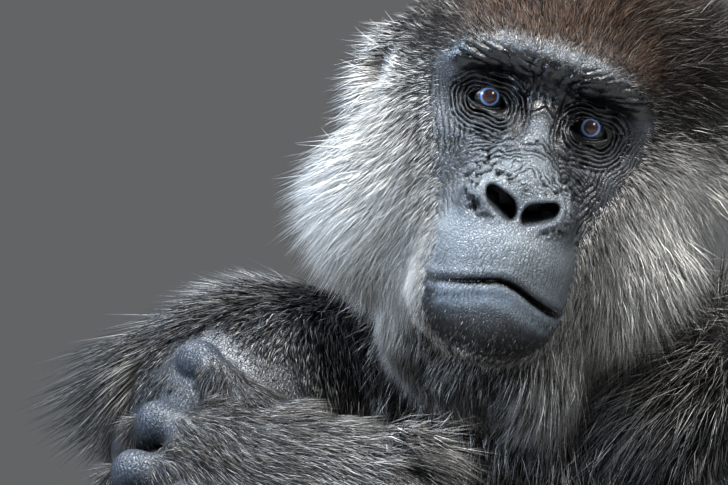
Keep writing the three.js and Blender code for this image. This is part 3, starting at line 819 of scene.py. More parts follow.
def face_edge_length(h, length):
    """Shortens the wanted edge length over the bare face, the ears and round the eyes."""
    x, y, z = h.T
    on_nose = (np.abs(x) < 34) & (z < -24) & (z > -74) & (y < -20)
    on_lips = (np.abs(z - mouth_height(x)) < 6) & (y < -20)
    for place, longest in ((on_bare_face(h), FACE_EDGES), (ear_distance(h) < 30, EAR_EDGES),
                           (on_nose | on_lips, NOSE_EDGES)):
        length = np.where(place, np.minimum(length, longest), length)
    for side in (-1, 1):
        off = (h - (side * EYE_HALF_SPACING, 0, -3)) / (25, 20, 22)
        length = np.where((off ** 2).sum(1) < 1, LID_EDGES, length)
    return length


def finger_distance(points, grip):
    return nearest(points, [joint for number in range(4) for joint in finger_line(grip, number)])


def edge_length(points):
    """Longest edge wanted at each place of the skin."""
    toes = (points[:, 2] < 62) & (points[:, 1] < -380)
    length = np.where(toes, TOE_EDGES, BODY_EDGES)
    length = np.where(finger_distance(points, RIGHT_GRIP) < 22, RIGHT_FINGER_EDGES, length)
    length = np.where(finger_distance(points, LEFT_GRIP) < 22, LEFT_FINGER_EDGES, length)
    at_knuckle = nearest(points, joints_of(LEFT_GRIP, 1)) < 20
    length = np.where(at_knuckle, np.minimum(length, KNUCKLE_EDGES), length)
    return face_edge_length(to_head(points), length)


def kept_whole(points):
    """Where the first mesh is not thinned out: face, ears, hands and feet."""
    h = to_head(points)
    toes = (points[:, 2] < 66) & (points[:, 1] < -370)
    fingers = np.minimum(finger_distance(points, LEFT_GRIP), finger_distance(points, RIGHT_GRIP))
    return on_bare_face(h, 5) | (ear_distance(h) < 34) | (fingers < 28) | toes


SKIN_LOW, SKIN_HIGH = (-340, -500, -12), (260, 190, 925)
THINNED_SHARE = 0.2      # triangles left of the first mesh


def make_skin():
    points, triangles = first_mesh(skin_field, SKIN_LOW, SKIN_HIGH)
    rough = mesh_object("rough", points, triangles)
    group = rough.vertex_groups.new(name="free")
    group.add(np.nonzero(~kept_whole(points))[0].tolist(), 1.0, "REPLACE")
    thin = rough.modifiers.new("thin", "DECIMATE")
    thin.ratio = THINNED_SHARE
    thin.vertex_group = "free"
    thinned = bpy.data.meshes.new_from_object(rough.evaluated_get(bpy.context.evaluated_depsgraph_get()))
    rough.modifiers.clear()
    rough.data = thinned
    points, triangles = mesh_points(rough), mesh_triangles(rough)
    bpy.data.objects.remove(rough)
    points = onto_surface(points, skin_field, 2)
    rooting = (points, triangles)
    for _ in range(6):
        parts = split_long_edges(points, triangles, edge_length)
        if parts is None:
            break
        points, triangles, first_new = parts
        points[first_new:] = onto_surface(points[first_new:], skin_field, 2)
    for _ in range(2):
        points = onto_surface(relaxed(points, triangles, 0.35), skin_field, 1)
    return points, triangles, rooting


# ------------------------------------------------------------------ material nodes

class Graph:
    """The nodes of one material. Its methods take sockets or plain values and return sockets."""

    def __init__(self, name):
        self.material = bpy.data.materials.new(name)
        self.material.use_nodes = True
        self.tree = self.material.node_tree
        self.shader = self.tree.nodes["Principled BSDF"]

    def feed(self, socket, value):
        if isinstance(value, bpy.types.NodeSocket):
            self.tree.links.new(value, socket)
        else:
            socket.default_value = value

    def set_shader(self, name, value):
        self.feed(self.shader.inputs[name], value)

    def set_bump(self, height, strength, distance):
        made = self.node("ShaderNodeBump", {"Height": height, "Strength": strength, "Distance": distance})
        self.set_shader("Normal", made.outputs["Normal"])

    def node(self, kind, inputs=None, **settings):
        made = self.tree.nodes.new(kind)
        for name, value in settings.items():
            setattr(made, name, value)
        for place, value in (inputs or {}).items():
            self.feed(made.inputs[place], value)
        return made

    def attribute(self, name, output):
        return self.node("ShaderNodeAttribute", attribute_name=name).outputs[output]

    def split(self, vector):
        return self.node("ShaderNodeSeparateXYZ", {0: vector}).outputs

    def noise(self, place, scale, detail):
        return self.node("ShaderNodeTexNoise", {"Vector": place, "Scale": scale, "Detail": detail}).outputs

    def math(self, operation, *values):
        return self.node("ShaderNodeMath", dict(enumerate(values)), operation=operation).outputs[0]

    def vector(self, operation, *values):
        return self.node("ShaderNodeVectorMath", dict(enumerate(values)), operation=operation).outputs[0]

    def weighted(self, total, *terms):
        """The total with every term's socket times its weight added to it."""
        for socket, weight in terms:
            total = self.math("ADD", self.math("MULTIPLY", socket, weight), total)
        return total

    def remap(self, value, low, high, to_low=0.0, to_high=1.0):
        return self.node("ShaderNodeMapRange", {"Value": value, "From Min": low, "From Max": high,
                                                "To Min": to_low, "To Max": to_high}).outputs["Result"]


def crease_pattern(graph, ragged):
    """All the creases of fold_lines drawn sharply: 1 in a crease, 0 off it."""
    total = 0.0
    for number in range(2):
        phases = graph.split(graph.attribute(f"phases_{number}", "Vector"))
        strengths = graph.split(graph.attribute(f"strengths_{number}", "Vector"))
        for phase, strength in zip(phases, strengths):
            wave = graph.math("SINE", graph.math("MULTIPLY", graph.math("ADD", phase, ragged), math.pi))
            valley = graph.math("SUBTRACT", 1.0, graph.math("ABSOLUTE", wave))
            valley = graph.math("POWER", valley, 1.15)
            total = graph.math("ADD", graph.math("MULTIPLY", valley, strength), total)
    return graph.math("MINIMUM", total, 1.0)


def skin_material():
    graph = Graph("bare skin")
    tint = graph.attribute("tint", "Color")
    place = graph.attribute("place", "Vector")
    uneven = graph.noise(place, 260.0, 2.0)
    grain = graph.noise(place, 1000.0, 3.0)["Fac"]
    warped = graph.vector("MULTIPLY_ADD", uneven["Color"], (0.004, 0.004, 0.004), place)
    stretched = graph.vector("MULTIPLY", warped, (1.25, 1.0, 0.68))
    cracks = graph.node("ShaderNodeTexVoronoi", {"Vector": stretched, "Scale": 480.0},
                        feature="DISTANCE_TO_EDGE")
    scales = graph.remap(cracks.outputs["Distance"], 0.0, 0.20)
    ragged = graph.math("MULTIPLY", graph.math("SUBTRACT", uneven["Fac"], 0.5), 0.6)
    creases = crease_pattern(graph, ragged)
    lightness = graph.split(tint)[1]
    # the black skin under the brow is the smoothest and glossiest
    grainy = graph.remap(lightness, 0.003, 0.03, 0.2, 1.0)
    height = graph.math("MULTIPLY", graph.weighted(0.0, (scales, 0.8), (grain, 0.60)), grainy)
    graph.set_bump(graph.weighted(height, (creases, -2.4)), 0.75, 0.0006)
    # painted shade in the creases and cracks, painted highlight on the swellings between them
    shade = graph.weighted(0.72, (scales, 0.35), (grain, 0.40), (creases, -1.45))
    shade = graph.math("MAXIMUM", shade, 0.04)
    colour = graph.node("ShaderNodeVectorMath", {0: tint, "Scale": shade}, operation="SCALE")
    graph.set_shader("Base Color", colour.outputs[0])
    graph.set_shader("Roughness", graph.remap(lightness, 0.003, 0.010, 0.27, 0.39))
    graph.set_shader("Specular IOR Level", 0.42)
    return graph.material


# ------------------------------------------------------------------ how the coat lies

# Sideways and up: where the coat starts over the brow
HAIRLINE = ((-72, 12), (-62, 25), (-38, 37), (-12, 41), (12, 41), (36, 37), (56, 28), (70, 14))
FACE_EDGE = (       # height, half width of the bare face there
    (-152, 14), (-145, 32), (-130, 44), (-110, 47), (-85, 44), (-65, 42), (-48, 46), (-30, 56),
    (-10, 62), (10, 65), (26, 62), (44, 40),
)


DROOP = 0.25             # how far the tips of strands are drawn down by their weight
LOWEST_TIP = 2.0
TUFT_PLACE = (-214, -66, 634)      # long hair behind the right shoulder
SPARSE_EDGE = -13.0      # how far short hairs grow in over the bare face
SHORTEST_HAIR = 4.5
BODY_COAT_LENGTH, BODY_COAT_LIFT = 66.0, 24.0
BARE_BELOW = 10          # height of the bare edge of feet and rump
HANDS = ((LEFT_WRIST, LEFT_GRIP, LEFT_THUMB), (RIGHT_WRIST, RIGHT_GRIP, RIGHT_THUMB))
LIMB_COATS = (
    # start, end, distance the coat reaches, its length and lift
    (RIGHT_SHOULDER, RIGHT_ELBOW, 84, 36, 15),
    (LEFT_SHOULDER, LEFT_ELBOW, 84, 40, 15),
    (RIGHT_ELBOW, RIGHT_WRIST, 62, 50, 19),
    (LEFT_ELBOW, LEFT_WRIST, 62, 50, 19),
    (mirror(KNEE, -1), mirror(ANKLE, -1), 70, 48, 17),
    (KNEE, ANKLE, 70, 48, 17),
    (mirror(HIP, -1), mirror(KNEE, -1), 100, 62, 20),
    (HIP, KNEE, 100, 62, 20),
)


def sparse_edge(h):
    """How far short hairs grow in over the bare face: over all of the chin."""
    return SPARSE_EDGE - 19 * ramp(-h[:, 2], 104, 122) + 9 * ramp(h[:, 2], 10, 22)


def beyond_face(h):
    """How far a place of the head is outside the bare face, negative within it."""
    x, z = h[:, 0], h[:, 2]
    sideways = np.abs(x) - np.interp(z, *zip(*FACE_EDGE)) + 6 * (x < 0) * ramp(-z, 60, 90)
    above = z - np.interp(x, *zip(*HAIRLINE))
    below = -149 - z
    out = np.maximum(np.maximum(sideways, above), below)
    return np.maximum(out, h[:, 1] - 34)


# Depths under the eyes, and the right edge of the head's own hair there
RUFF_EDGE = ((94, 122, 142, 200), (-120, -104, -76, -50))


def near_head(points):
    """1 on the head, falling to 0 down the neck and short of the arm beside the chin."""
    h = to_head(points)
    right_end = np.interp(-h[:, 2], *RUFF_EDGE)
    off_arm = np.where(h[:, 2] < -94, ramp(h[:, 0] - right_end, -4, 10), 1)
    away = np.linalg.norm((points - from_head((0, 60, -40))) / (1, 1, 1.1), axis=1)
    return off_arm * (1 - ramp(away, 165, 215))


def head_flow(h):
    """The way the coat lies on the head: over the crown, out from the cheeks, down the beard."""
    x, y, z = h.T
    s = np.tanh(x / 14)
    crown_out = 0.35 * np.minimum(np.abs(x) / 60, 1)
    crown, cheek, temple, beard, behind = (
        np.stack([sideways * s, back + 0 * x, up + 0 * x], 1)
        for sideways, back, up in ((crown_out, 1, 0.30), (0.48, 0.22, -0.85), (0.75, 0.85, 0.05),
                                   (0.22, -0.10, -1), (0.15, 0.35, -1)))
    top = ramp(z, 18, 46)
    at_temple = ramp(z, -34, 2) * (1 - top)
    low = ramp(-z, 70, 140) * (1 - ramp(np.abs(x), 62, 100) * 0.6)
    back = ramp(y, 105, 160)
    flow = cheek * (1 - top - at_temple)[:, None] + temple * at_temple[:, None] + crown * top[:, None]
    return unit(toward(toward(flow, beard, low[:, None]), behind, back[:, None]))


FLOW_BONES = [
    # start, end, thickness, way the coat lies
    ((0, 30, 95), (0, -20, 560), 150, (0, 0, -1)),
    ((0, -30, 600), (12, -110, 760), 95, (0, 0.1, -1)),
    ((-40, -30, 612), RIGHT_SHOULDER, 62, (-0.9, -0.1, -0.35)),
    ((40, -30, 606), LEFT_SHOULDER, 62, (0.9, -0.1, -0.35)),
    (RIGHT_SHOULDER, RIGHT_ELBOW, 56, direction(RIGHT_SHOULDER, RIGHT_ELBOW) + (-0.08, 0, 0.05)),
    (LEFT_SHOULDER, LEFT_ELBOW, 56, direction(LEFT_SHOULDER, LEFT_ELBOW) + (0.2, 0, 0)),
    (RIGHT_ELBOW, RIGHT_WRIST, 40, direction(RIGHT_WRIST, RIGHT_ELBOW)),
    (LEFT_ELBOW, LEFT_WRIST, 40, direction(LEFT_WRIST, LEFT_ELBOW)),
    (RIGHT_WRIST, RIGHT_GRIP[0][0], 25, direction(RIGHT_WRIST, RIGHT_GRIP[0][0])),
    (LEFT_WRIST, LEFT_GRIP[0][0], 42, (0.8, -0.1, -0.35)),
]
for side in (-1, 1):
    FLOW_BONES += [
        (mirror(HIP, side), mirror(KNEE, side), 84, direction(mirror(HIP, side), mirror(KNEE, side))),
        (mirror(KNEE, side), mirror(ANKLE, side), 48, (side * 0.1, 0.1, -1)),
        (mirror(ANKLE, side), foot_point(side, 150, 0, 25), 28, (side * 0.2, -1, -0.1)),
    ]


def body_flow(points):
    total = np.zeros_like(points)
    for start, end, thickness, way in FLOW_BONES:
        away = bone_distance(points, start, end)[0] / thickness
        total += np.array(way, float) / np.maximum(away, 0.3)[:, None] ** 6
    return unit(unit(total) + (0, 0, -0.30))


def hand_distance(points, grip, wrist, thumb):
    return near(points.astype(np.float32), tuple(grip[0][0]), 190,
                lambda some: hand(some, grip, wrist, thumb))


def bone_distance(points, start, end):
    """Distance to a bone, and the share along it of the nearest place."""
    bone = np.array(end, float) - start
    share = np.clip((points - start) @ bone / (bone @ bone), 0, 1)
    return np.linalg.norm(points - start - share[:, None] * bone, axis=1), share


def laid_flat(flow, normals):
    return unit(flow - (flow * normals).sum(1)[:, None] * normals)


def shoulder_tuft(points):
    return bump(np.linalg.norm((points - TUFT_PLACE) / (1, 1, 1.1), axis=1), 46)


def head_coat(h):
    """Length and lift of the coat on the head, by its own frame."""
    out = beyond_face(h)
    x, y, z = h.T
    top = ramp(z, 15, 45)
    low = ramp(-z, 90, 140)
    ruff_bulge = ramp(np.abs(x), 55, 85) * (1 - low)
    full = toward(toward(56, 32, top), 58 + 18 * ramp(np.abs(x), 18, 44), low)
    full = full + np.where(x > 0, 20, 10) * ruff_bulge * ramp(-z, 20, 60)
    full = full + np.where(x > 0, 16, -20) * ruff_bulge * (1 - ramp(-z, 0, 44))
    grown = np.clip(out / toward(62, 34, top), 0, 1) ** 0.85
    length = SHORTEST_HAIR + 2.0 * ramp(-z, 100, 112) + (full - SHORTEST_HAIR) * grown
    lift = toward(14 + (18 + 22 * ramp(-z, 6, 50)) * ramp(out, 8, 60), 34, top)
    lift = toward(lift + 12 * ruff_bulge * (x > 0) * ramp(z, -50, 0), 31, low)
    back = ramp(y, 110, 165)
    bare = (out < sparse_edge(h)) | (ear_distance(h) < 13)
    return np.where(bare, 0, toward(length, 46, back)), toward(lift, 16, back)


def body_coat(points):
    """Length and lift of the coat below the head."""
    length = np.full(len(points), BODY_COAT_LENGTH)
    lift = np.full(len(points), BODY_COAT_LIFT)
    for start, end, radius, limb_length, limb_lift in LIMB_COATS:
        distance, share = bone_distance(points, start, end)
        near_bone = (1 - ramp(distance, radius * 0.9, radius * 1.25)) * ramp(share, 0.02, 0.3)
        length = toward(length, limb_length, near_bone)
        lift = toward(lift, limb_lift, near_bone)
    x, y, z = points.T
    length = length * (1 - 0.35 * ramp(x, 165, 215))
    outer_arm = ramp(-x, 200, 230) * (1 - ramp(z, 585, 612)) * ramp(z, 430, 480)
    length = length * (1 - 0.2 * outer_arm)
    tuft = shoulder_tuft(points)
    length = length + 36 * tuft
    lift = lift + 26 * tuft
    for wrist, grip, thumb in HANDS:
        share = bone_distance(points, wrist, tuple(grip[0][0]))[1]
        on_hand = 1 - ramp(hand_distance(points, grip, wrist, thumb), 3, 9)
        lift = toward(lift, 15, on_hand)
        length = toward(length, 36 - 12 * ramp(share, 0.2, 1.0), on_hand)
        off_knuckles = nearest(points, joints_of(grip, 1))
        off_joints = nearest(points, joints_of(grip, 2)) - 5
        length = length * ramp(np.minimum(off_knuckles, off_joints), 12, 20)
    on_foot = (z < 90) & (y < -230)
    foot_share = (0.12 + 0.3 * ramp(z, 30, 90)) * ramp(z, 12, 34) * ramp(y, -450, -400)
    length = np.where(on_foot, length * foot_share, length)
    return np.where(z < BARE_BELOW, 0, length), lift


def coat_lie(points, normals):
    """Length, lift in degrees and tangent direction of the coat at places of the skin. No length
    means bare skin."""
    h = to_head(points)
    head_share = near_head(points)
    on_head = head_share[:, None]
    flow = unit(toward(body_flow(points), head_flow(h) @ HEAD_TURN.T, on_head))
    flow = unit(flow + np.array((-1.2, 0.2, 0.5)) * shoulder_tuft(points)[:, None])
    head_length, head_lift = head_coat(h)
    length, lift = body_coat(points)
    length = np.where((head_share > 0.5) & (head_length == 0), 0, toward(length, head_length, head_share))
    return length, toward(lift, head_lift, head_share), laid_flat(flow, normals)


def coat_colours(points, count_random):
    """Colour of each strand, from where it grows and its own random number."""
    h = to_head(points)
    x, y, z = h.T
    s = np.abs(x)
    out = beyond_face(h)
    head_share = near_head(points)
    patches = noise(points, 30, 51)

    def everywhere(colour):
        return np.full((len(points), 3), colour)

    # body: blackish grey, a few pale hairs
    dark = everywhere((0.011, 0.010, 0.010))
    mid = everywhere((0.080, 0.074, 0.068))
    pale = everywhere((0.25, 0.24, 0.225))
    pale_share = np.full(len(points), 0.13)
    mid_share = np.full(len(points), 0.42)
    # the upper arm that the front shows is a more even, lighter grey, as painted light against the shade on
    # it; lighter still as painted light where the arm meets the chest in shade
    on_arm = 1 - ramp(bone_distance(points, RIGHT_SHOULDER, RIGHT_ELBOW)[0], 70, 86)
    across, _, up = points.T
    inner = bump(np.hypot((across + 100) / 70, (up - 600) / 70), 1.3) * (1 - head_share)
    dark = mix(mix(dark, (0.034, 0.032, 0.031), 0.8 * on_arm), (0.060, 0.057, 0.055), 0.8 * inner)
    mid = mix(mix(mid, (0.085, 0.082, 0.079), 0.8 * on_arm), (0.15, 0.145, 0.14), 0.8 * inner)
    # more pale hairs on the left hand and forearm
    for start, end in ((LEFT_WRIST, tuple(LEFT_GRIP[0][0])), (LEFT_WRIST, LEFT_ELBOW)):
        pale_share = pale_share + 0.06 * (1 - ramp(bone_distance(points, start, end)[0], 40, 75))
    pale = mix(pale, (0.30, 0.295, 0.29), 0.8 * (pale_share > 0.17))
    bib = bump(np.hypot((across - 12) / 78, (up - 640) / 90), 1.2) * (1 - head_share)
    pale_share = pale_share + 0.30 * bib
    mid_share = mid_share + 0.10 * bib
    mid = mix(mid, (0.085, 0.082, 0.080), bib)
    # cheeks and beard: grey-beige, pepper and salt, paler outwards; the share of pale hairs and their
    # colours also carry painted light and shade
    ruff = ramp(head_share, 0.35, 0.9) * (1 - ramp(z, 0, 40)) * (1 - ramp(y, 110, 170))
    ruff = ruff * (1 - 0.6 * ramp(-z, 185, 225)) * (1 - 0.8 * ramp(1.1 * x - z, 225, 262))
    beige = 0.39 + 0.32 * ramp(out, 6, 42) + 0.14 * patches + 0.08 * (x < 0)
    # painted light: paler low on the right cheek, which the lamps leave in shade
    beige = beige + 0.44 * ramp(-z, 84, 112) * ramp(-x, 26, 50)
    # painted shade of the chin: darker in the middle under it
    beige = beige * (1 - 0.62 * ramp(-z, 96, 150) * (1 - ramp(s, 26, 60)))
    # painted light: paler all over the left side and low on the right; less pale high on the right, where
    # the left sky lamp falls
    beige = beige + np.where(x > 0, 0.10, 0.20 * ramp(-z, 40, 80) - 0.24 * ramp(z, -40, 0))
    # painted light: pale hairs darker and mid hairs lighter on the side towards the left sky lamp, evening
    # out its light
    sunny = ramp(-x, -10, 70)
    pale = mix(pale, mix(everywhere((0.76, 0.73, 0.685)), (0.63, 0.61, 0.58), sunny), ruff)
    mid = mix(mid, mix(everywhere((0.235, 0.225, 0.21)), (0.27, 0.26, 0.242), sunny), ruff)
    dark = mix(dark, (0.022, 0.021, 0.020), ruff)
    pale_share = toward(pale_share, beige, ruff)
    mid_share = toward(mid_share, 0.28, ruff)
    # crown: red-brown with black at the sides
    crown = head_share * ramp(z, 12, 40) * (1 - ramp(y, 120, 170))
    red = np.clip((1 - ramp(s, 48, 82)) * (0.75 + 0.35 * patches), 0, 1)
    mid = mix(mid, (0.042, 0.019, 0.009), crown * red)
    pale = mix(pale, (0.12, 0.088, 0.062), crown * red)
    dark = mix(dark, (0.010, 0.007, 0.006), crown)
    pale_share = toward(pale_share, 0.15 + 0.3 * ramp(x, 84, 108), crown)
    mid_share = toward(mid_share, 0.18 + 0.42 * red, crown)
    # a dark patch at each temple
    patch = head_share * bump(np.hypot((s - 76) / 26, (z - 22) / 30), 1.3) * (y < 80)
    pale_share = pale_share * (1 - 0.85 * patch)
    mid_share = mid_share * (1 - 0.6 * patch)
    # whitish fringe along the hairline
    fringe = head_share * (1 - ramp(out, 0.5, 4)) * ramp(z, 12, 26)
    pale = mix(pale, (0.30, 0.285, 0.26), fringe)
    pale_share = toward(pale_share, 0.5, fringe)
    # stubble on the chin is mostly dark
    stubble = head_share * (out < 0) * ramp(-z, 100, 112)
    pale_share = pale_share * (1 - 0.85 * stubble)
    mid_share = toward(mid_share, 0.45, stubble)
    mid = mix(mid, (0.13, 0.125, 0.12), stubble)
    is_pale = count_random < pale_share
    is_mid = count_random < pale_share + mid_share
    chosen = np.where(is_pale[:, None], pale, np.where(is_mid[:, None], mid, dark))
    return chosen, np.where(is_pale, 0.72, 1.1)


# ------------------------------------------------------------------ the skin's colours and creases

def skin_tint(points, h):
    """Colour of the bare skin, markings and all, with painted shade in its hollows and under the brow, and
    painted highlights and sheen on its ridges, lips and knuckles.
    """
    tint = np.full((len(points), 3), (0.035, 0.039, 0.045))
    cloudy = 0.5 + 0.4 * noise(points, 26, 31) + 0.25 * noise(points, 7, 32)
    tint = tint * (0.78 + 0.44 * cloudy)[:, None]
    on_head = np.linalg.norm(h - (0, 50, -30), axis=1) < HEAD_REACH
    face = on_head & (h[:, 1] < 60)
    x, y, z = h.T
    side = np.abs(x)
    out = eye_rings(h)[0]
    mirrored = np.stack([side, y, z], 1).astype(np.float32)
    hole = np.where(y < -20, nostril(mirrored), 9)
    level = z - mouth_height(x)
    on_mouth = ramp(-y, 14, 26) * face * (1 - ramp(np.abs(x - MOUTH_MIDDLE), MOUTH_HALF, MOUTH_HALF + 4))

    brow_edge = z + np.interp(side, (0, 40, 56, 66), (0, 0, 3, 10)) + 2.0 * noise(h, 9, 33)
    under_brow = ramp(z - 0.3 * np.maximum(side - 40, 0) + 10 * bump(side, 20), 3, 9)
    under_brow = under_brow * (1 - ramp(brow_edge, 33, 37))
    brow_top = ramp(brow_edge, 35, 38) * (1 - ramp(z, 50, 60))
    socket = (1 - ramp(out, 8, 15)) * ramp(z, -2, 4)
    beside_root = bump(side - 12.5, 8.5) * ramp(z, -32, -18) * (1 - ramp(z, 30, 34)) * (y < 30)
    below_eye = (1 - ramp(out, 4, 13)) * ramp(-z, -4, 4)
    pouch = bump(out - 13, 6) * ramp(-z, 6, 12)
    orbit_end = bump(np.hypot((x - 57) / 13, (z - 2) / 20), 1.0)
    lids = 1 - ramp(out, 2.0, 4.5)
    lid_rim = 1 - ramp(np.abs(out + 0.4), 1.6, 3.0)
    nose_top = ramp(-z, 18, 34) * (1 - ramp(-z, 48, 56)) * (1 - ramp(side, 24, 36))
    nostril_rim = bump(hole - 3, 4.5) * (y < -20)
    pitted = bump(hole - 7.5, 6) * (y < -8) * ramp(z, -72, -62) * np.clip(4.5 * wing_pits(h), 0, 1)
    ridge = bump(side / (1 + 0.09 * np.maximum(-z, 0)), 4.6) * ramp(z, -40, -22) * (1 - ramp(z, -3, 1))
    upper_lip = ramp(-z, 62, 74) * ramp(level, 2, 12) * ramp(-y, 10, 34)
    in_nostril = (1 - ramp(hole, -3.0, 0.8)) * ramp(above_nostril_floor(mirrored), -0.5, 4.5)
    in_slit = 1 - ramp(np.abs(level - 0.2) / slit_share(x), 2.0, 2.9)
    body = 1 - np.clip(on_head, 0, 1)
    knuckles = np.concatenate([joints_of(grip, 1) for grip in (LEFT_GRIP, RIGHT_GRIP)])
    painted_knuckle_sheen = bump(nearest(points, knuckles), 19)
    under_hair = np.where(on_head, ramp(beyond_face(h), 3, 16), 0) * (ear_distance(h) > 26)
    for colour, share in (
            # the black skin under the brow, also painted shade under the overhanging ridge
            ((0.0022, 0.0023, 0.0025), 0.98 * under_brow * face),
            # painted light on the top of the brow, which faces up
            ((0.045, 0.048, 0.052), 0.8 * brow_top * face),
            # painted shade in the eye sockets
            ((0.008, 0.008, 0.009), 0.9 * socket * face),
            # painted shade in the hollows beside the root of the nose
            ((0.004, 0.004, 0.0045), 0.93 * beside_root * face),
            ((0.013, 0.014, 0.015), 0.8 * below_eye * face),
            # painted light on the pouches under the eyes
            ((0.070, 0.077, 0.085), 0.4 * pouch * face),
            # painted shade at the outer end of the left orbit
            ((0.006, 0.006, 0.0065), 0.85 * orbit_end * face),
            ((0.005, 0.005, 0.005), 0.85 * lids * face),
            ((0.004, 0.0035, 0.0035), 0.92 * lid_rim * face),
            # painted light on the top of the nose
            ((0.074, 0.083, 0.088), 0.7 * nose_top * face),
            # painted highlight on the rims of the nostrils
            ((0.095, 0.106, 0.116), 0.3 * nostril_rim * face),
            # painted shade in the pits round the wings of the nose
            ((0.010, 0.011, 0.012), 0.9 * pitted * face),
            # painted highlight along the ridge at the root of the nose
            ((0.10, 0.11, 0.12), 0.5 * ridge * face),
            # painted sheen on the upper lip
            ((0.108, 0.120, 0.130), 0.72 * upper_lip * face),
            # painted shade inside the nostrils
            ((0.003, 0.003, 0.003), 0.97 * in_nostril * face),
            # painted bluish highlight along the lower lip
            ((0.155, 0.178, 0.205), 0.85 * bump(level + 9, 11) * on_mouth),
            # painted shade in the slit of the mouth
            ((0.0030, 0.0026, 0.0022), 0.98 * in_slit * on_mouth),
            ((0.009, 0.0085, 0.0075), 0.9 * ramp(-z, 116, 140) * face),
            ((0.011, 0.012, 0.014), 0.85 * body),
            # painted bluish highlight on the knuckles, a reflection of the sky lamp
            ((0.055, 0.074, 0.110), 0.85 * painted_knuckle_sheen * body),
            # the skin's own dark grey under the head's coat, darkened further as painted shade in the gaps
            # of the coat
            ((0.013, 0.013, 0.014), 0.9 * under_hair)):
        tint = mix(tint, colour, share)
    return tint


def hand_lines(points):
    """Creases across the finger joints: a phase along each finger and its strength."""
    phase = np.zeros(len(points))
    strength = np.zeros(len(points))
    for grip, number in itertools.product((LEFT_GRIP, RIGHT_GRIP), range(4)):
        joints = finger_line(grip, number)
        for joint, reach in ((1, 17), (2, 12)):
            bent = unit(joints[joint] - joints[joint - 1]) + unit(joints[joint + 1] - joints[joint])
            offset = points - joints[joint]
            near_joint = bump(np.linalg.norm(offset, axis=1), reach * 1.25)
            along = offset @ unit(bent) + 1.4 * noise(points, 8, 71)
            phase = np.where(near_joint > strength, along / 2.6, phase)
            strength = np.maximum(strength, near_joint)
    return phase, strength


def add_skin(points, triangles):
    h = to_head(points)
    on_head = np.linalg.norm(h, axis=1) < HEAD_REACH
    skin = mesh_object("skin", points, triangles)
    across, knuckled = hand_lines(points)
    relief = np.where(on_head, skin_folds(h), -0.5 * groove(across) * knuckled)
    raised = points + point_normals(skin) * relief[:, None]
    skin.data.vertices.foreach_set("co", (raised * MM).astype(np.float32).ravel())
    skin.data.update()
    set_attribute(skin, "place", "FLOAT_VECTOR", h * np.where(on_head, 1, 0.85)[:, None] * MM)
    phases, strengths = fold_lines(h)
    phases, strengths = np.stack(phases, 1), np.stack(strengths, 1) * on_head[:, None]
    phases[:, 3] = np.where(on_head, phases[:, 3], across)
    strengths[:, 3] = np.where(on_head, strengths[:, 3], knuckled)
    for number in range(2):
        part = slice(3 * number, 3 * number + 3)
        set_attribute(skin, f"phases_{number}", "FLOAT_VECTOR", phases[:, part])
        set_attribute(skin, f"strengths_{number}", "FLOAT_VECTOR", np.clip(strengths[:, part], 0, 1))
    set_tint(skin, skin_tint(points, h))
    skin.data.materials.append(skin_material())
    return skin


# ------------------------------------------------------------------ coat, eyes and nails

# A strand's corners are its root, three round its middle, and its tip.
STRAND_FACES = np.array([(0, 1, 2), (0, 2, 3), (0, 3, 1), (4, 2, 1), (4, 3, 2), (4, 1, 3)])
STRAND_SHADES = np.array([0.35, 0.8, 0.8, 0.8, 1.15])
PATCH = 0.003            # size of a strand's place on the unwrap
STRAND_PATCH = np.array([(0.5, 0.0), (0.0, 0.5), (0.5, 0.6), (1.0, 0.5), (0.5, 1.0)]) * PATCH
MOST_STRANDS = 196000 // len(STRAND_FACES)      # of one coat piece
STRANDS_IN_CLUMP = 9
ROOT_DEPTH = 1.2


class Roots:
    """The skin before it was refined, with an unwrap of its own shape, for placing strands."""

    def __init__(self, points, triangles):
        thing = mesh_object("unwrapping", points, triangles)
        self.normals = point_normals(thing)
        bpy.context.view_layer.objects.active = thing
        bpy.ops.object.select_all(action="DESELECT")
        thing.select_set(True)
        bpy.ops.object.mode_set(mode="EDIT")
        bpy.ops.mesh.select_all(action="SELECT")
        bpy.ops.uv.smart_project(angle_limit=math.radians(75), island_margin=0.004)
        bpy.ops.object.mode_set(mode="OBJECT")
        self.uvs = read(thing.data.uv_layers.active.data, "uv", 2).reshape(-1, 3, 2).astype(float)
        bpy.data.objects.remove(thing)
        self.points, self.triangles = points, triangles
        corners = points[triangles]
        cross = np.cross(corners[:, 1] - corners[:, 0], corners[:, 2] - corners[:, 0])
        self.areas = np.linalg.norm(cross, axis=1) / 2
        self.middles = corners.mean(1)

    def pick(self, count, density, rng):
        """Random places on the skin: points, normals and places on the unwrap."""
        weights = self.areas * density(self.middles)
        chosen = rng.choice(len(weights), count, p=weights / weights.sum())
        first, second = rng.random(count), rng.random(count)
        over = first + second > 1
        first, second = np.where(over, 1 - first, first), np.where(over, 1 - second, second)
        shares = np.stack([1 - first - second, first, second], 1)[:, :, None]
        corners = self.triangles[chosen]
        places = onto_surface((self.points[corners] * shares).sum(1), skin_field, 1)
        return (places, unit((self.normals[corners] * shares).sum(1)),
                (self.uvs[chosen] * shares).sum(1))


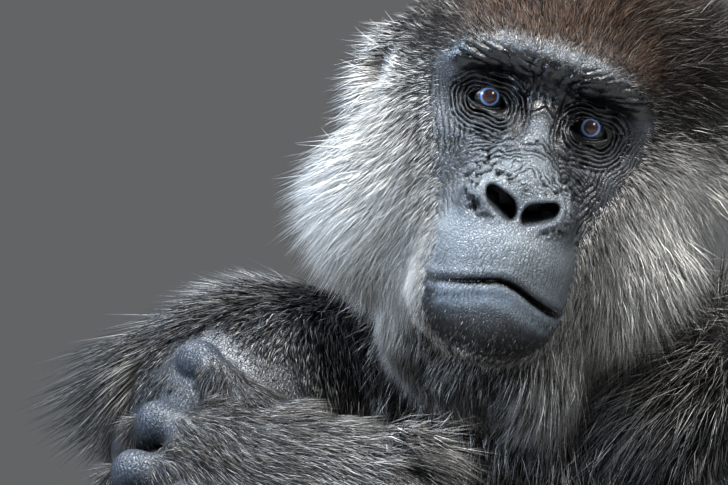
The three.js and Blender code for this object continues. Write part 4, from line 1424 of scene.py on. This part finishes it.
def strand_mesh(name, points, normals, uvs, length, lift, flow, width, colours, clump, frizz, rng):
    """Closed three-sided strands, thin at both ends, all in one mesh. Strands lean towards the
    tips of their clump by the share `clump`, and end over the floor."""
    count = len(points)
    angle = np.radians(lift)[:, None]
    side = unit(np.cross(flow, normals))
    start_way = np.cos(angle) * flow + np.sin(angle) * normals
    droop = np.array((0, 0, -DROOP)) - 0.8 * np.minimum(-DROOP * normals[:, 2:], 0) * normals
    end_way = np.cos(angle * 0.45) * flow + np.sin(angle * 0.45) * normals + droop
    start_way = unit(start_way + frizz * rng.normal(size=(count, 3)))
    end_way = unit(end_way + 1.8 * frizz * rng.normal(size=(count, 3)))
    length = (length * rng.uniform(0.72, 1.15, count))[:, None]
    roots = points - normals * ROOT_DEPTH

    def along(t):
        return roots + length * (start_way * (t - t * t / 2) + end_way * (t * t / 2))

    fall = points[:, 2] - along(1.0)[:, 2]
    room = np.clip((points[:, 2] - LOWEST_TIP) / np.maximum(fall, 1e-3), 0.1, 1)
    length = length * np.where(fall > 0, room, 1)[:, None]
    tips = along(1.0)
    seeds = max(1, count // STRANDS_IN_CLUMP)
    tree = KDTree(seeds)
    for index in range(seeds):
        tree.insert(points[index], index)
    tree.balance()
    owner = np.array([tree.find(point)[1] for point in points])
    shift = (tips[owner] - tips) * (clump * rng.uniform(0.5, 1.0, count))[:, None]
    shift_length = np.linalg.norm(shift, axis=1, keepdims=True)
    shift = shift * np.minimum(1, 0.45 * length / np.maximum(shift_length, 1e-6))
    middle = along(0.5) + shift * 0.5 ** 1.5
    over = unit(np.cross(side, unit((start_way + end_way) / 2)))
    layers = [roots]
    for turn in np.radians((90, 210, 330)):
        layers.append(middle + (width / 2)[:, None] * (side * math.sin(turn) + over * math.cos(turn) * 0.6))
    vertices = np.stack(layers + [tips + shift], 1)
    vertices[:, -1, 2] = np.maximum(vertices[:, -1, 2], LOWEST_TIP)
    corners = vertices.shape[1]
    faces = (STRAND_FACES[None] + corners * np.arange(count)[:, None, None]).reshape(-1, 3)
    strands = mesh_object(name, vertices.reshape(-1, 3), faces)
    layer = strands.data.uv_layers.new(name="OFBake")
    places = (uvs[:, None, :] + STRAND_PATCH[None]).reshape(-1, 2)
    layer.data.foreach_set("uv", places[faces.ravel()].astype(np.float32).ravel())
    set_tint(strands, np.minimum(colours[:, None, :] * STRAND_SHADES[None, :, None], 1).reshape(-1, 3))
    return strands


def hair_material(name, roughness):
    graph = Graph(name)
    graph.set_shader("Base Color", graph.attribute("tint", "Color"))
    graph.set_shader("Roughness", roughness)
    graph.set_shader("Specular IOR Level", 0.22)
    return graph.material


def clear_of_hands(points, normals, length, lift, flow):
    """Shortens strands that would grow over a hand from beside it."""
    angle = np.radians(lift * 0.7)[:, None]
    way = np.cos(angle) * flow + np.sin(angle) * normals
    for wrist, grip, thumb in HANDS:
        away = hand_distance(points, grip, wrist, thumb)
        before = (points - grip[0][2]) @ unit(grip[0][0] - grip[0][2]) > -4
        outside = (away > 4) & before
        shortest = np.ones(len(points))
        for share in (1.0, 0.8, 0.6, 0.45, 0.3):
            reached = points + way * (length * share)[:, None]
            hit = outside & (hand_distance(reached, grip, wrist, thumb) < 8)
            shortest = np.where(hit, share - 0.2, shortest)
        length = length * shortest
        length = np.where(outside, np.minimum(length, 7 + 0.8 * np.maximum(away - 4, 0)), length)
    return length


def add_coat(name, roots, count, zone, width, clump, frizz, length_share, rng, material):
    """Strands over one zone of the skin, in pieces of fewer than 200,000 triangles."""
    points, normals, uvs = roots.pick(count, zone, rng)
    length, lift, flow = coat_lie(points, normals)
    kept = length > 2.5
    points, normals, uvs, length, lift, flow = (
        part[kept] for part in (points, normals, uvs, length, lift, flow))
    for size, amount, seed in ((38, 0.34, 61), (12, 0.16, 64)):
        flow = flow + amount * np.stack([noise(points, size, seed + axis) for axis in range(3)], 1)
    flow = laid_flat(flow, normals)
    colours, thickness = coat_colours(points, rng.random(len(points)))
    colours = colours * np.exp(0.38 * np.clip(rng.normal(size=len(points)), -2, 2))[:, None]
    thick = width * thickness * np.clip(length / 45, 0.55, 1.3)
    length = clear_of_hands(points, normals, length * length_share, lift, flow)
    strands = (points, normals, uvs, length, lift, flow, thick, colours)
    for number, start in enumerate(range(0, len(points), MOST_STRANDS)):
        part = [values[start:start + MOST_STRANDS] for values in strands]
        piece = strand_mesh(f"{name}_{number}", *part, clump, frizz, rng)
        piece.data.materials.append(material)
        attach(piece, "root")


def head_zone(points):
    """Thickest at the face's edge and on all of the head that the front shows."""
    h = to_head(points)
    near_face = 1 - ramp(beyond_face(h), 30, 90)
    hairy = beyond_face(h) > 0
    return near_head(points) * hairy * (0.5 + 1.3 * near_face) * (1 - 0.7 * ramp(h[:, 1], 80, 140))


def face_edge_zone(points):
    """Short fine hair round the bare face, a little of it on the face itself."""
    h = to_head(points)
    out = beyond_face(h)
    inward = ramp(out, SPARSE_EDGE, 4)
    stubble = 0.02 + 0.75 * ramp(-h[:, 2], 104, 120)
    return near_head(points) * (stubble + inward) * (out > sparse_edge(h)) * (1 - ramp(out, 22, 70))


def shown_front(points):
    x, y, z = points.T
    front = (z > 500) & (z < 700) & (y < 60)
    right = x < 20
    left = (x >= 20) & (x < 190) & (y < -60)
    on_hand = 1 - ramp(bone_distance(points, LEFT_WRIST, LEFT_GRIP[0][0])[0], 70, 95)
    return front * (1.0 * right + 0.8 * left + 0.05) * (1 + 1.6 * on_hand)


def shown_arm_zone(points):
    return (1 - near_head(points)) * shown_front(points)


def body_zone(points):
    return (1 - near_head(points)) * (shown_front(points) <= 0.3)


IRIS_RADIUS = 5.7
CORNEA_RISE = 0.9
EYE_RINGS = 56           # of corners, and corners round each
GAZE_SHIFT = (0.05, 0, -0.02)      # off the way to the camera, in the head's frame


def eye_colours(points, angle, turn, side, outward):
    """Brown iris with a blue-grey ring, partly a painted reflection of the sky, black pupil, and the
    white's own amber, painted bright as painted light at the corner towards the left sky lamp and dark
    red-brown at the other.
    """
    radial = EYE_RADIUS * np.sin(np.minimum(angle, math.pi / 2))
    streak = noise(np.stack([np.cos(turn) * 9, np.sin(turn) * 9, radial * 0.35], 1), 1.0, 41 + side)
    spoke = noise(np.stack([np.cos(turn) * 22, np.sin(turn) * 22, radial * 0.2], 1), 1.0, 43)
    tint = np.full((len(points), 3), (0.010, 0.005, 0.003))
    # the white's own amber, painted bright as painted light at the corner towards the left sky lamp, darker
    # red-brown elsewhere
    amber = 0.7 + 0.3 * noise(points, 3.5, 44)
    corner = ramp(outward, 3.5, 6)
    tint = mix(tint, (0.85, 0.42, 0.11), amber * ramp(radial, 5.7, 6.6) * corner)
    tint = mix(tint, (0.30, 0.075, 0.03), 0.8 * amber * ramp(radial, 6.2, 8.4) * (1 - corner))
    brown = mix(np.full((len(points), 3), (0.014, 0.005, 0.003)), (0.060, 0.020, 0.011),
                np.clip(0.45 + 0.5 * streak + 0.3 * spoke, 0, 1))
    iris = 1 - ramp(radial, IRIS_RADIUS, IRIS_RADIUS + 0.7)
    tint = toward(tint, brown, iris[:, None])
    # blue-grey ring at the iris's edge: the eye's own ring, and partly a painted reflection of the sky
    tint = mix(tint, (0.11, 0.20, 0.38), 0.92 * bump(radial - 5.15 + 0.15 * streak, 1.25))
    return mix(tint, (0.012, 0.016, 0.020), 1 - ramp(radial, 1.3, 1.9))


def eye_material(name):
    graph = Graph(name)
    graph.set_shader("Base Color", graph.attribute("tint", "Color"))
    graph.set_shader("Roughness", 0.5)
    graph.set_shader("Specular IOR Level", 0.1)
    graph.set_shader("Coat Weight", 0.5)
    graph.set_shader("Coat Roughness", 0.03)
    return graph.material


def add_eye(side):
    """Eyeball with a raised cornea, its poles in front and behind, looking at the camera."""
    name = "left" if side > 0 else "right"
    centre = EYE_CENTRES[name]
    gaze = unit(np.array(bpy.context.scene.camera.location) / MM - centre)
    gaze = unit(gaze + HEAD_TURN @ GAZE_SHIFT)
    side_axis = unit(np.cross(gaze, (0, 0, 1.0)))
    up_axis = np.cross(side_axis, gaze)
    angles = math.pi * (np.arange(1, EYE_RINGS) / EYE_RINGS) ** 1.5
    turns = 2 * math.pi * np.arange(EYE_RINGS) / EYE_RINGS
    angle, turn = (grid.ravel() for grid in np.meshgrid(angles, turns, indexing="ij"))
    off_axis = EYE_RADIUS * np.sin(angle)
    rise = CORNEA_RISE * np.clip(1 - (off_axis / (IRIS_RADIUS + 0.5)) ** 2, 0, 1) * (angle < 1.5)
    angle = np.concatenate([[0], angle, [math.pi]])
    turn = np.concatenate([[0], turn, [0]])
    radius = EYE_RADIUS + np.concatenate([[CORNEA_RISE], rise, [0]])
    ways = (np.cos(angle)[:, None] * gaze + (np.sin(angle) * np.cos(turn))[:, None] * side_axis
            + (np.sin(angle) * np.sin(turn))[:, None] * up_axis)
    points = centre + radius[:, None] * ways
    number = 1 + np.arange(len(points) - 2).reshape(-1, EYE_RINGS)
    after = np.roll(number, -1, axis=1)
    front, back = np.zeros_like(number[0]), np.full_like(number[0], len(points) - 1)
    faces = np.concatenate([
        np.stack([front, after[0], number[0]], -1),
        split_quads(number[:-1], after[:-1], after[1:], number[1:]),
        np.stack([number[-1], after[-1], back], -1),
    ])
    eye = mesh_object(f"eyeball_{name}", points, faces[:, ::-1])
    outward = -(points - centre) @ side_axis * np.sign(side_axis[0])
    set_tint(eye, eye_colours(points, angle, turn, side, outward))
    eye.data.materials.append(eye_material(eye.name))
    return eye


NAIL_LENGTH_FINGER, NAIL_LENGTH_TOE = 12.0, 11.0
NAIL_THICKNESS = 0.9
NAIL_ROWS = 9            # of points along a nail, and across it


def nail(tip, back, dorsal, radius, length):
    """A nail over the end of a finger or toe: points and faces of one closed shell laid on the
    skin. `tip` and `back` are the last two joints, `dorsal` the way the nail faces."""
    ahead = unit(np.array(tip, float) - back)
    dorsal = unit(dorsal - (dorsal @ ahead) * ahead)
    across = np.cross(ahead, dorsal)
    share = np.linspace(-1, 1, NAIL_ROWS)
    along, sideways = np.meshgrid(share, share, indexing="ij")
    # a rounded rectangle, widest in the middle
    width = 0.80 * radius * np.sqrt(np.clip(1 - 0.55 * np.abs(along) ** 3.2, 0, 1))
    end = length / 2 * along * (1 - 0.14 * sideways ** 2 * (along > 0))
    spots = (np.array(tip) - ahead * (length * 0.34 - radius * 0.45)
             + end[..., None] * ahead + (sideways * width)[..., None] * across
             + dorsal * (radius * np.sqrt(np.clip(1 - (0.75 * sideways) ** 2, 0, 1)))[..., None])
    spots = onto_surface(spots.reshape(-1, 3), skin_field, 4)
    outward = unit(gradient(spots, skin_field))
    rim = np.maximum(np.abs(along), np.abs(sideways)).ravel()
    lift = NAIL_THICKNESS * (1 - rim ** 6) + 0.55 * ramp(along.ravel(), 0.2, 1.0)
    top = spots + outward * lift[:, None] + ahead * (0.8 * ramp(along.ravel(), 0.5, 1.0))[:, None]
    under = spots - outward * 1.2
    number = np.arange(len(top)).reshape(along.shape)
    upper = split_quads(number[:-1, :-1], number[:-1, 1:], number[1:, 1:], number[1:, :-1])
    edge = np.concatenate([number[0], number[1:, -1], number[-1, -2::-1], number[-2:0:-1, 0]])
    after = np.roll(edge, -1)
    wall = split_quads(edge, edge + len(top), after + len(top), after)
    faces = np.concatenate([upper, upper[:, ::-1] + len(top), wall])
    points = np.concatenate([top, under])
    corners = points[faces[0]]
    if np.cross(corners[1] - corners[0], corners[2] - corners[0]) @ dorsal < 0:
        faces = faces[:, ::-1]
    return points, faces


def nail_places():
    """Last two joints, facing, radius and length of every nail."""
    for grip, start, end in ((LEFT_GRIP, RIGHT_SHOULDER, RIGHT_ELBOW),
                             (RIGHT_GRIP, LEFT_SHOULDER, LEFT_ELBOW)):
        axis = direction(start, end)
        for number in range(4):
            joints = finger_line(grip, number)
            off = (joints[3] + joints[2]) / 2 - start
            yield joints[3], joints[2], off - (off @ axis) * axis, 9.5, NAIL_LENGTH_FINGER
    for thumb, facing in ((LEFT_THUMB, (0.2, -0.2, 0.95)), (RIGHT_THUMB, (0, -0.8, 0.6))):
        yield np.array(thumb[2], float), np.array(thumb[1], float), np.array(facing), 10, NAIL_LENGTH_FINGER
    for side in (-1, 1):
        for number in range(5):
            line = np.array(toe_line(side, number))
            yield line[-1, :3], line[-2, :3], np.array((0, -0.25, 1.0)), line[-1, 3], NAIL_LENGTH_TOE


def nail_material():
    graph = Graph("nail")
    place = graph.node("ShaderNodeTexCoord").outputs["Object"]
    colours = graph.node("ShaderNodeValToRGB", {"Fac": graph.noise(place, 420.0, 3.0)["Fac"]})
    colours.color_ramp.elements[0].color = (0.010, 0.009, 0.009, 1)
    colours.color_ramp.elements[1].color = (0.060, 0.052, 0.046, 1)
    ridges = graph.node("ShaderNodeTexWave", {"Vector": place, "Scale": 240.0, "Distortion": 3.0})
    graph.set_shader("Base Color", colours.outputs["Color"])
    graph.set_shader("Roughness", 0.30)
    graph.set_bump(ridges.outputs["Fac"], 0.3, 0.0003)
    return graph.material


def add_nails():
    points, faces, count = [], [], 0
    for tip, back, facing, radius, length in nail_places():
        shell, triangles = nail(tip, back, facing, radius, length)
        points.append(shell)
        faces.append(triangles + count)
        count += len(shell)
    nails = mesh_object("nails", np.concatenate(points), np.concatenate(faces))
    nails.data.materials.append(nail_material())
    return nails


# ------------------------------------------------------------------ camera, lights and floor

def add_camera():
    scale = PIXEL * MM
    centre_x = EYE_POINT[0] * MM + (IMAGE_WIDTH / 2 - EYES_AT_PIXEL[0]) * scale
    centre_z = EYE_POINT[2] * MM - (IMAGE_HEIGHT / 2 - EYES_AT_PIXEL[1]) * scale
    data = bpy.data.cameras.new("camera")
    data.sensor_width = SENSOR_WIDTH
    data.lens = SENSOR_WIDTH * CAMERA_DISTANCE / (IMAGE_WIDTH * PIXEL)
    data.clip_end = 100
    camera = bpy.data.objects.new("camera", data)
    camera.location = (centre_x, (EYE_POINT[1] - CAMERA_DISTANCE) * MM, centre_z)
    camera.rotation_euler = (math.radians(90), 0, 0)
    bpy.context.scene.collection.objects.link(camera)
    bpy.context.scene.camera = camera


FLOOR_HALF_M = 6
LIGHTS = (
    # name, place and size in metres, watts, colour
    ("key", (0.15, -1.35, 2.95), 0.8, 150, (1.0, 0.98, 0.95)),
    ("sky", (-0.5, -0.3, 2.6), 1.5, 120, (0.86, 0.93, 1.0)),
    ("left sky", (-2.1, -1.2, 1.5), 1.0, 84, (0.63, 0.79, 1.0)),
    ("glint", (1.08, -1.89, 1.65), 0.6, 32, (0.90, 0.95, 1.0)),
)


def add_light(name, place, size, power, colour):
    """A round soft light over the scene, turned to the face. Its place and size are in metres."""
    data = bpy.data.lights.new(name, "AREA")
    data.shape = "DISK"
    data.size = size
    data.energy = power
    data.color = colour
    lamp = bpy.data.objects.new(name, data)
    lamp.location = place
    lamp.rotation_euler = (Vector(EYE_POINT * MM) - Vector(place)).to_track_quat("-Z", "Y").to_euler()
    lamp.visible_camera = False
    bpy.context.scene.collection.objects.link(lamp)


def add_studio():
    world = bpy.data.worlds.new("world")
    world.use_nodes = True
    background = world.node_tree.nodes["Background"]
    background.inputs["Color"].default_value = (0.72, 0.74, 0.76, 1)
    background.inputs["Strength"].default_value = 0.18
    bpy.context.scene.world = world
    bpy.context.scene.view_settings.view_transform = "Standard"
    bpy.context.scene.view_settings.look = "Medium High Contrast"
    for light in LIGHTS:
        add_light(*light)
    mesh = bpy.data.meshes.new("floor")
    corners = [(x * FLOOR_HALF_M, y * FLOOR_HALF_M, 0) for x, y in ((-1, -1), (1, -1), (1, 1), (-1, 1))]
    mesh.from_pydata(corners, [], [(0, 1, 2, 3)])
    floor = bpy.data.objects.new("floor", mesh)
    graph = Graph("floor")
    graph.set_shader("Base Color", (0.45, 0.445, 0.435, 1))
    graph.set_shader("Roughness", 0.8)
    mesh.materials.append(graph.material)
    bpy.context.scene.collection.objects.link(floor)


# ------------------------------------------------------------------ the whole model

def flesh_nodes():
    return [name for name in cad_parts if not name.startswith("eye_")]


add_camera()
add_studio()
skin_points, skin_triangles, (root_points, root_triangles) = make_skin()
skin = add_skin(skin_points, skin_triangles)
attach(skin, "root")
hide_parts(*flesh_nodes())
for side in (-1, 1):
    eyeball = add_eye(side)
    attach(eyeball, "root")
    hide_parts("eye_left" if side > 0 else "eye_right")

nails = add_nails()
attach(nails, "root")

COATS = (
    # name, strands, zone, width, share drawn to a clump's tip, unevenness, share of the length
    ("head_hair", 93000, head_zone, 0.62, 0.30, 0.19, 1.0),
    ("face_edge_hair", 50000, face_edge_zone, 0.62, 0.15, 0.12, 0.8),
    ("arm_hair", 59000, shown_arm_zone, 0.72, 0.35, 0.11, 1.0),
    ("body_hair", 46000, body_zone, 2.5, 0.5, 0.10, 1.0),
)
rng = np.random.default_rng(7)
roots = Roots(root_points, root_triangles)
fur = hair_material("fur", 0.5)
for name, count, zone, width, clump, frizz, length_share in COATS:
    add_coat(name, roots, count, zone, width, clump, frizz, length_share, rng, fur)
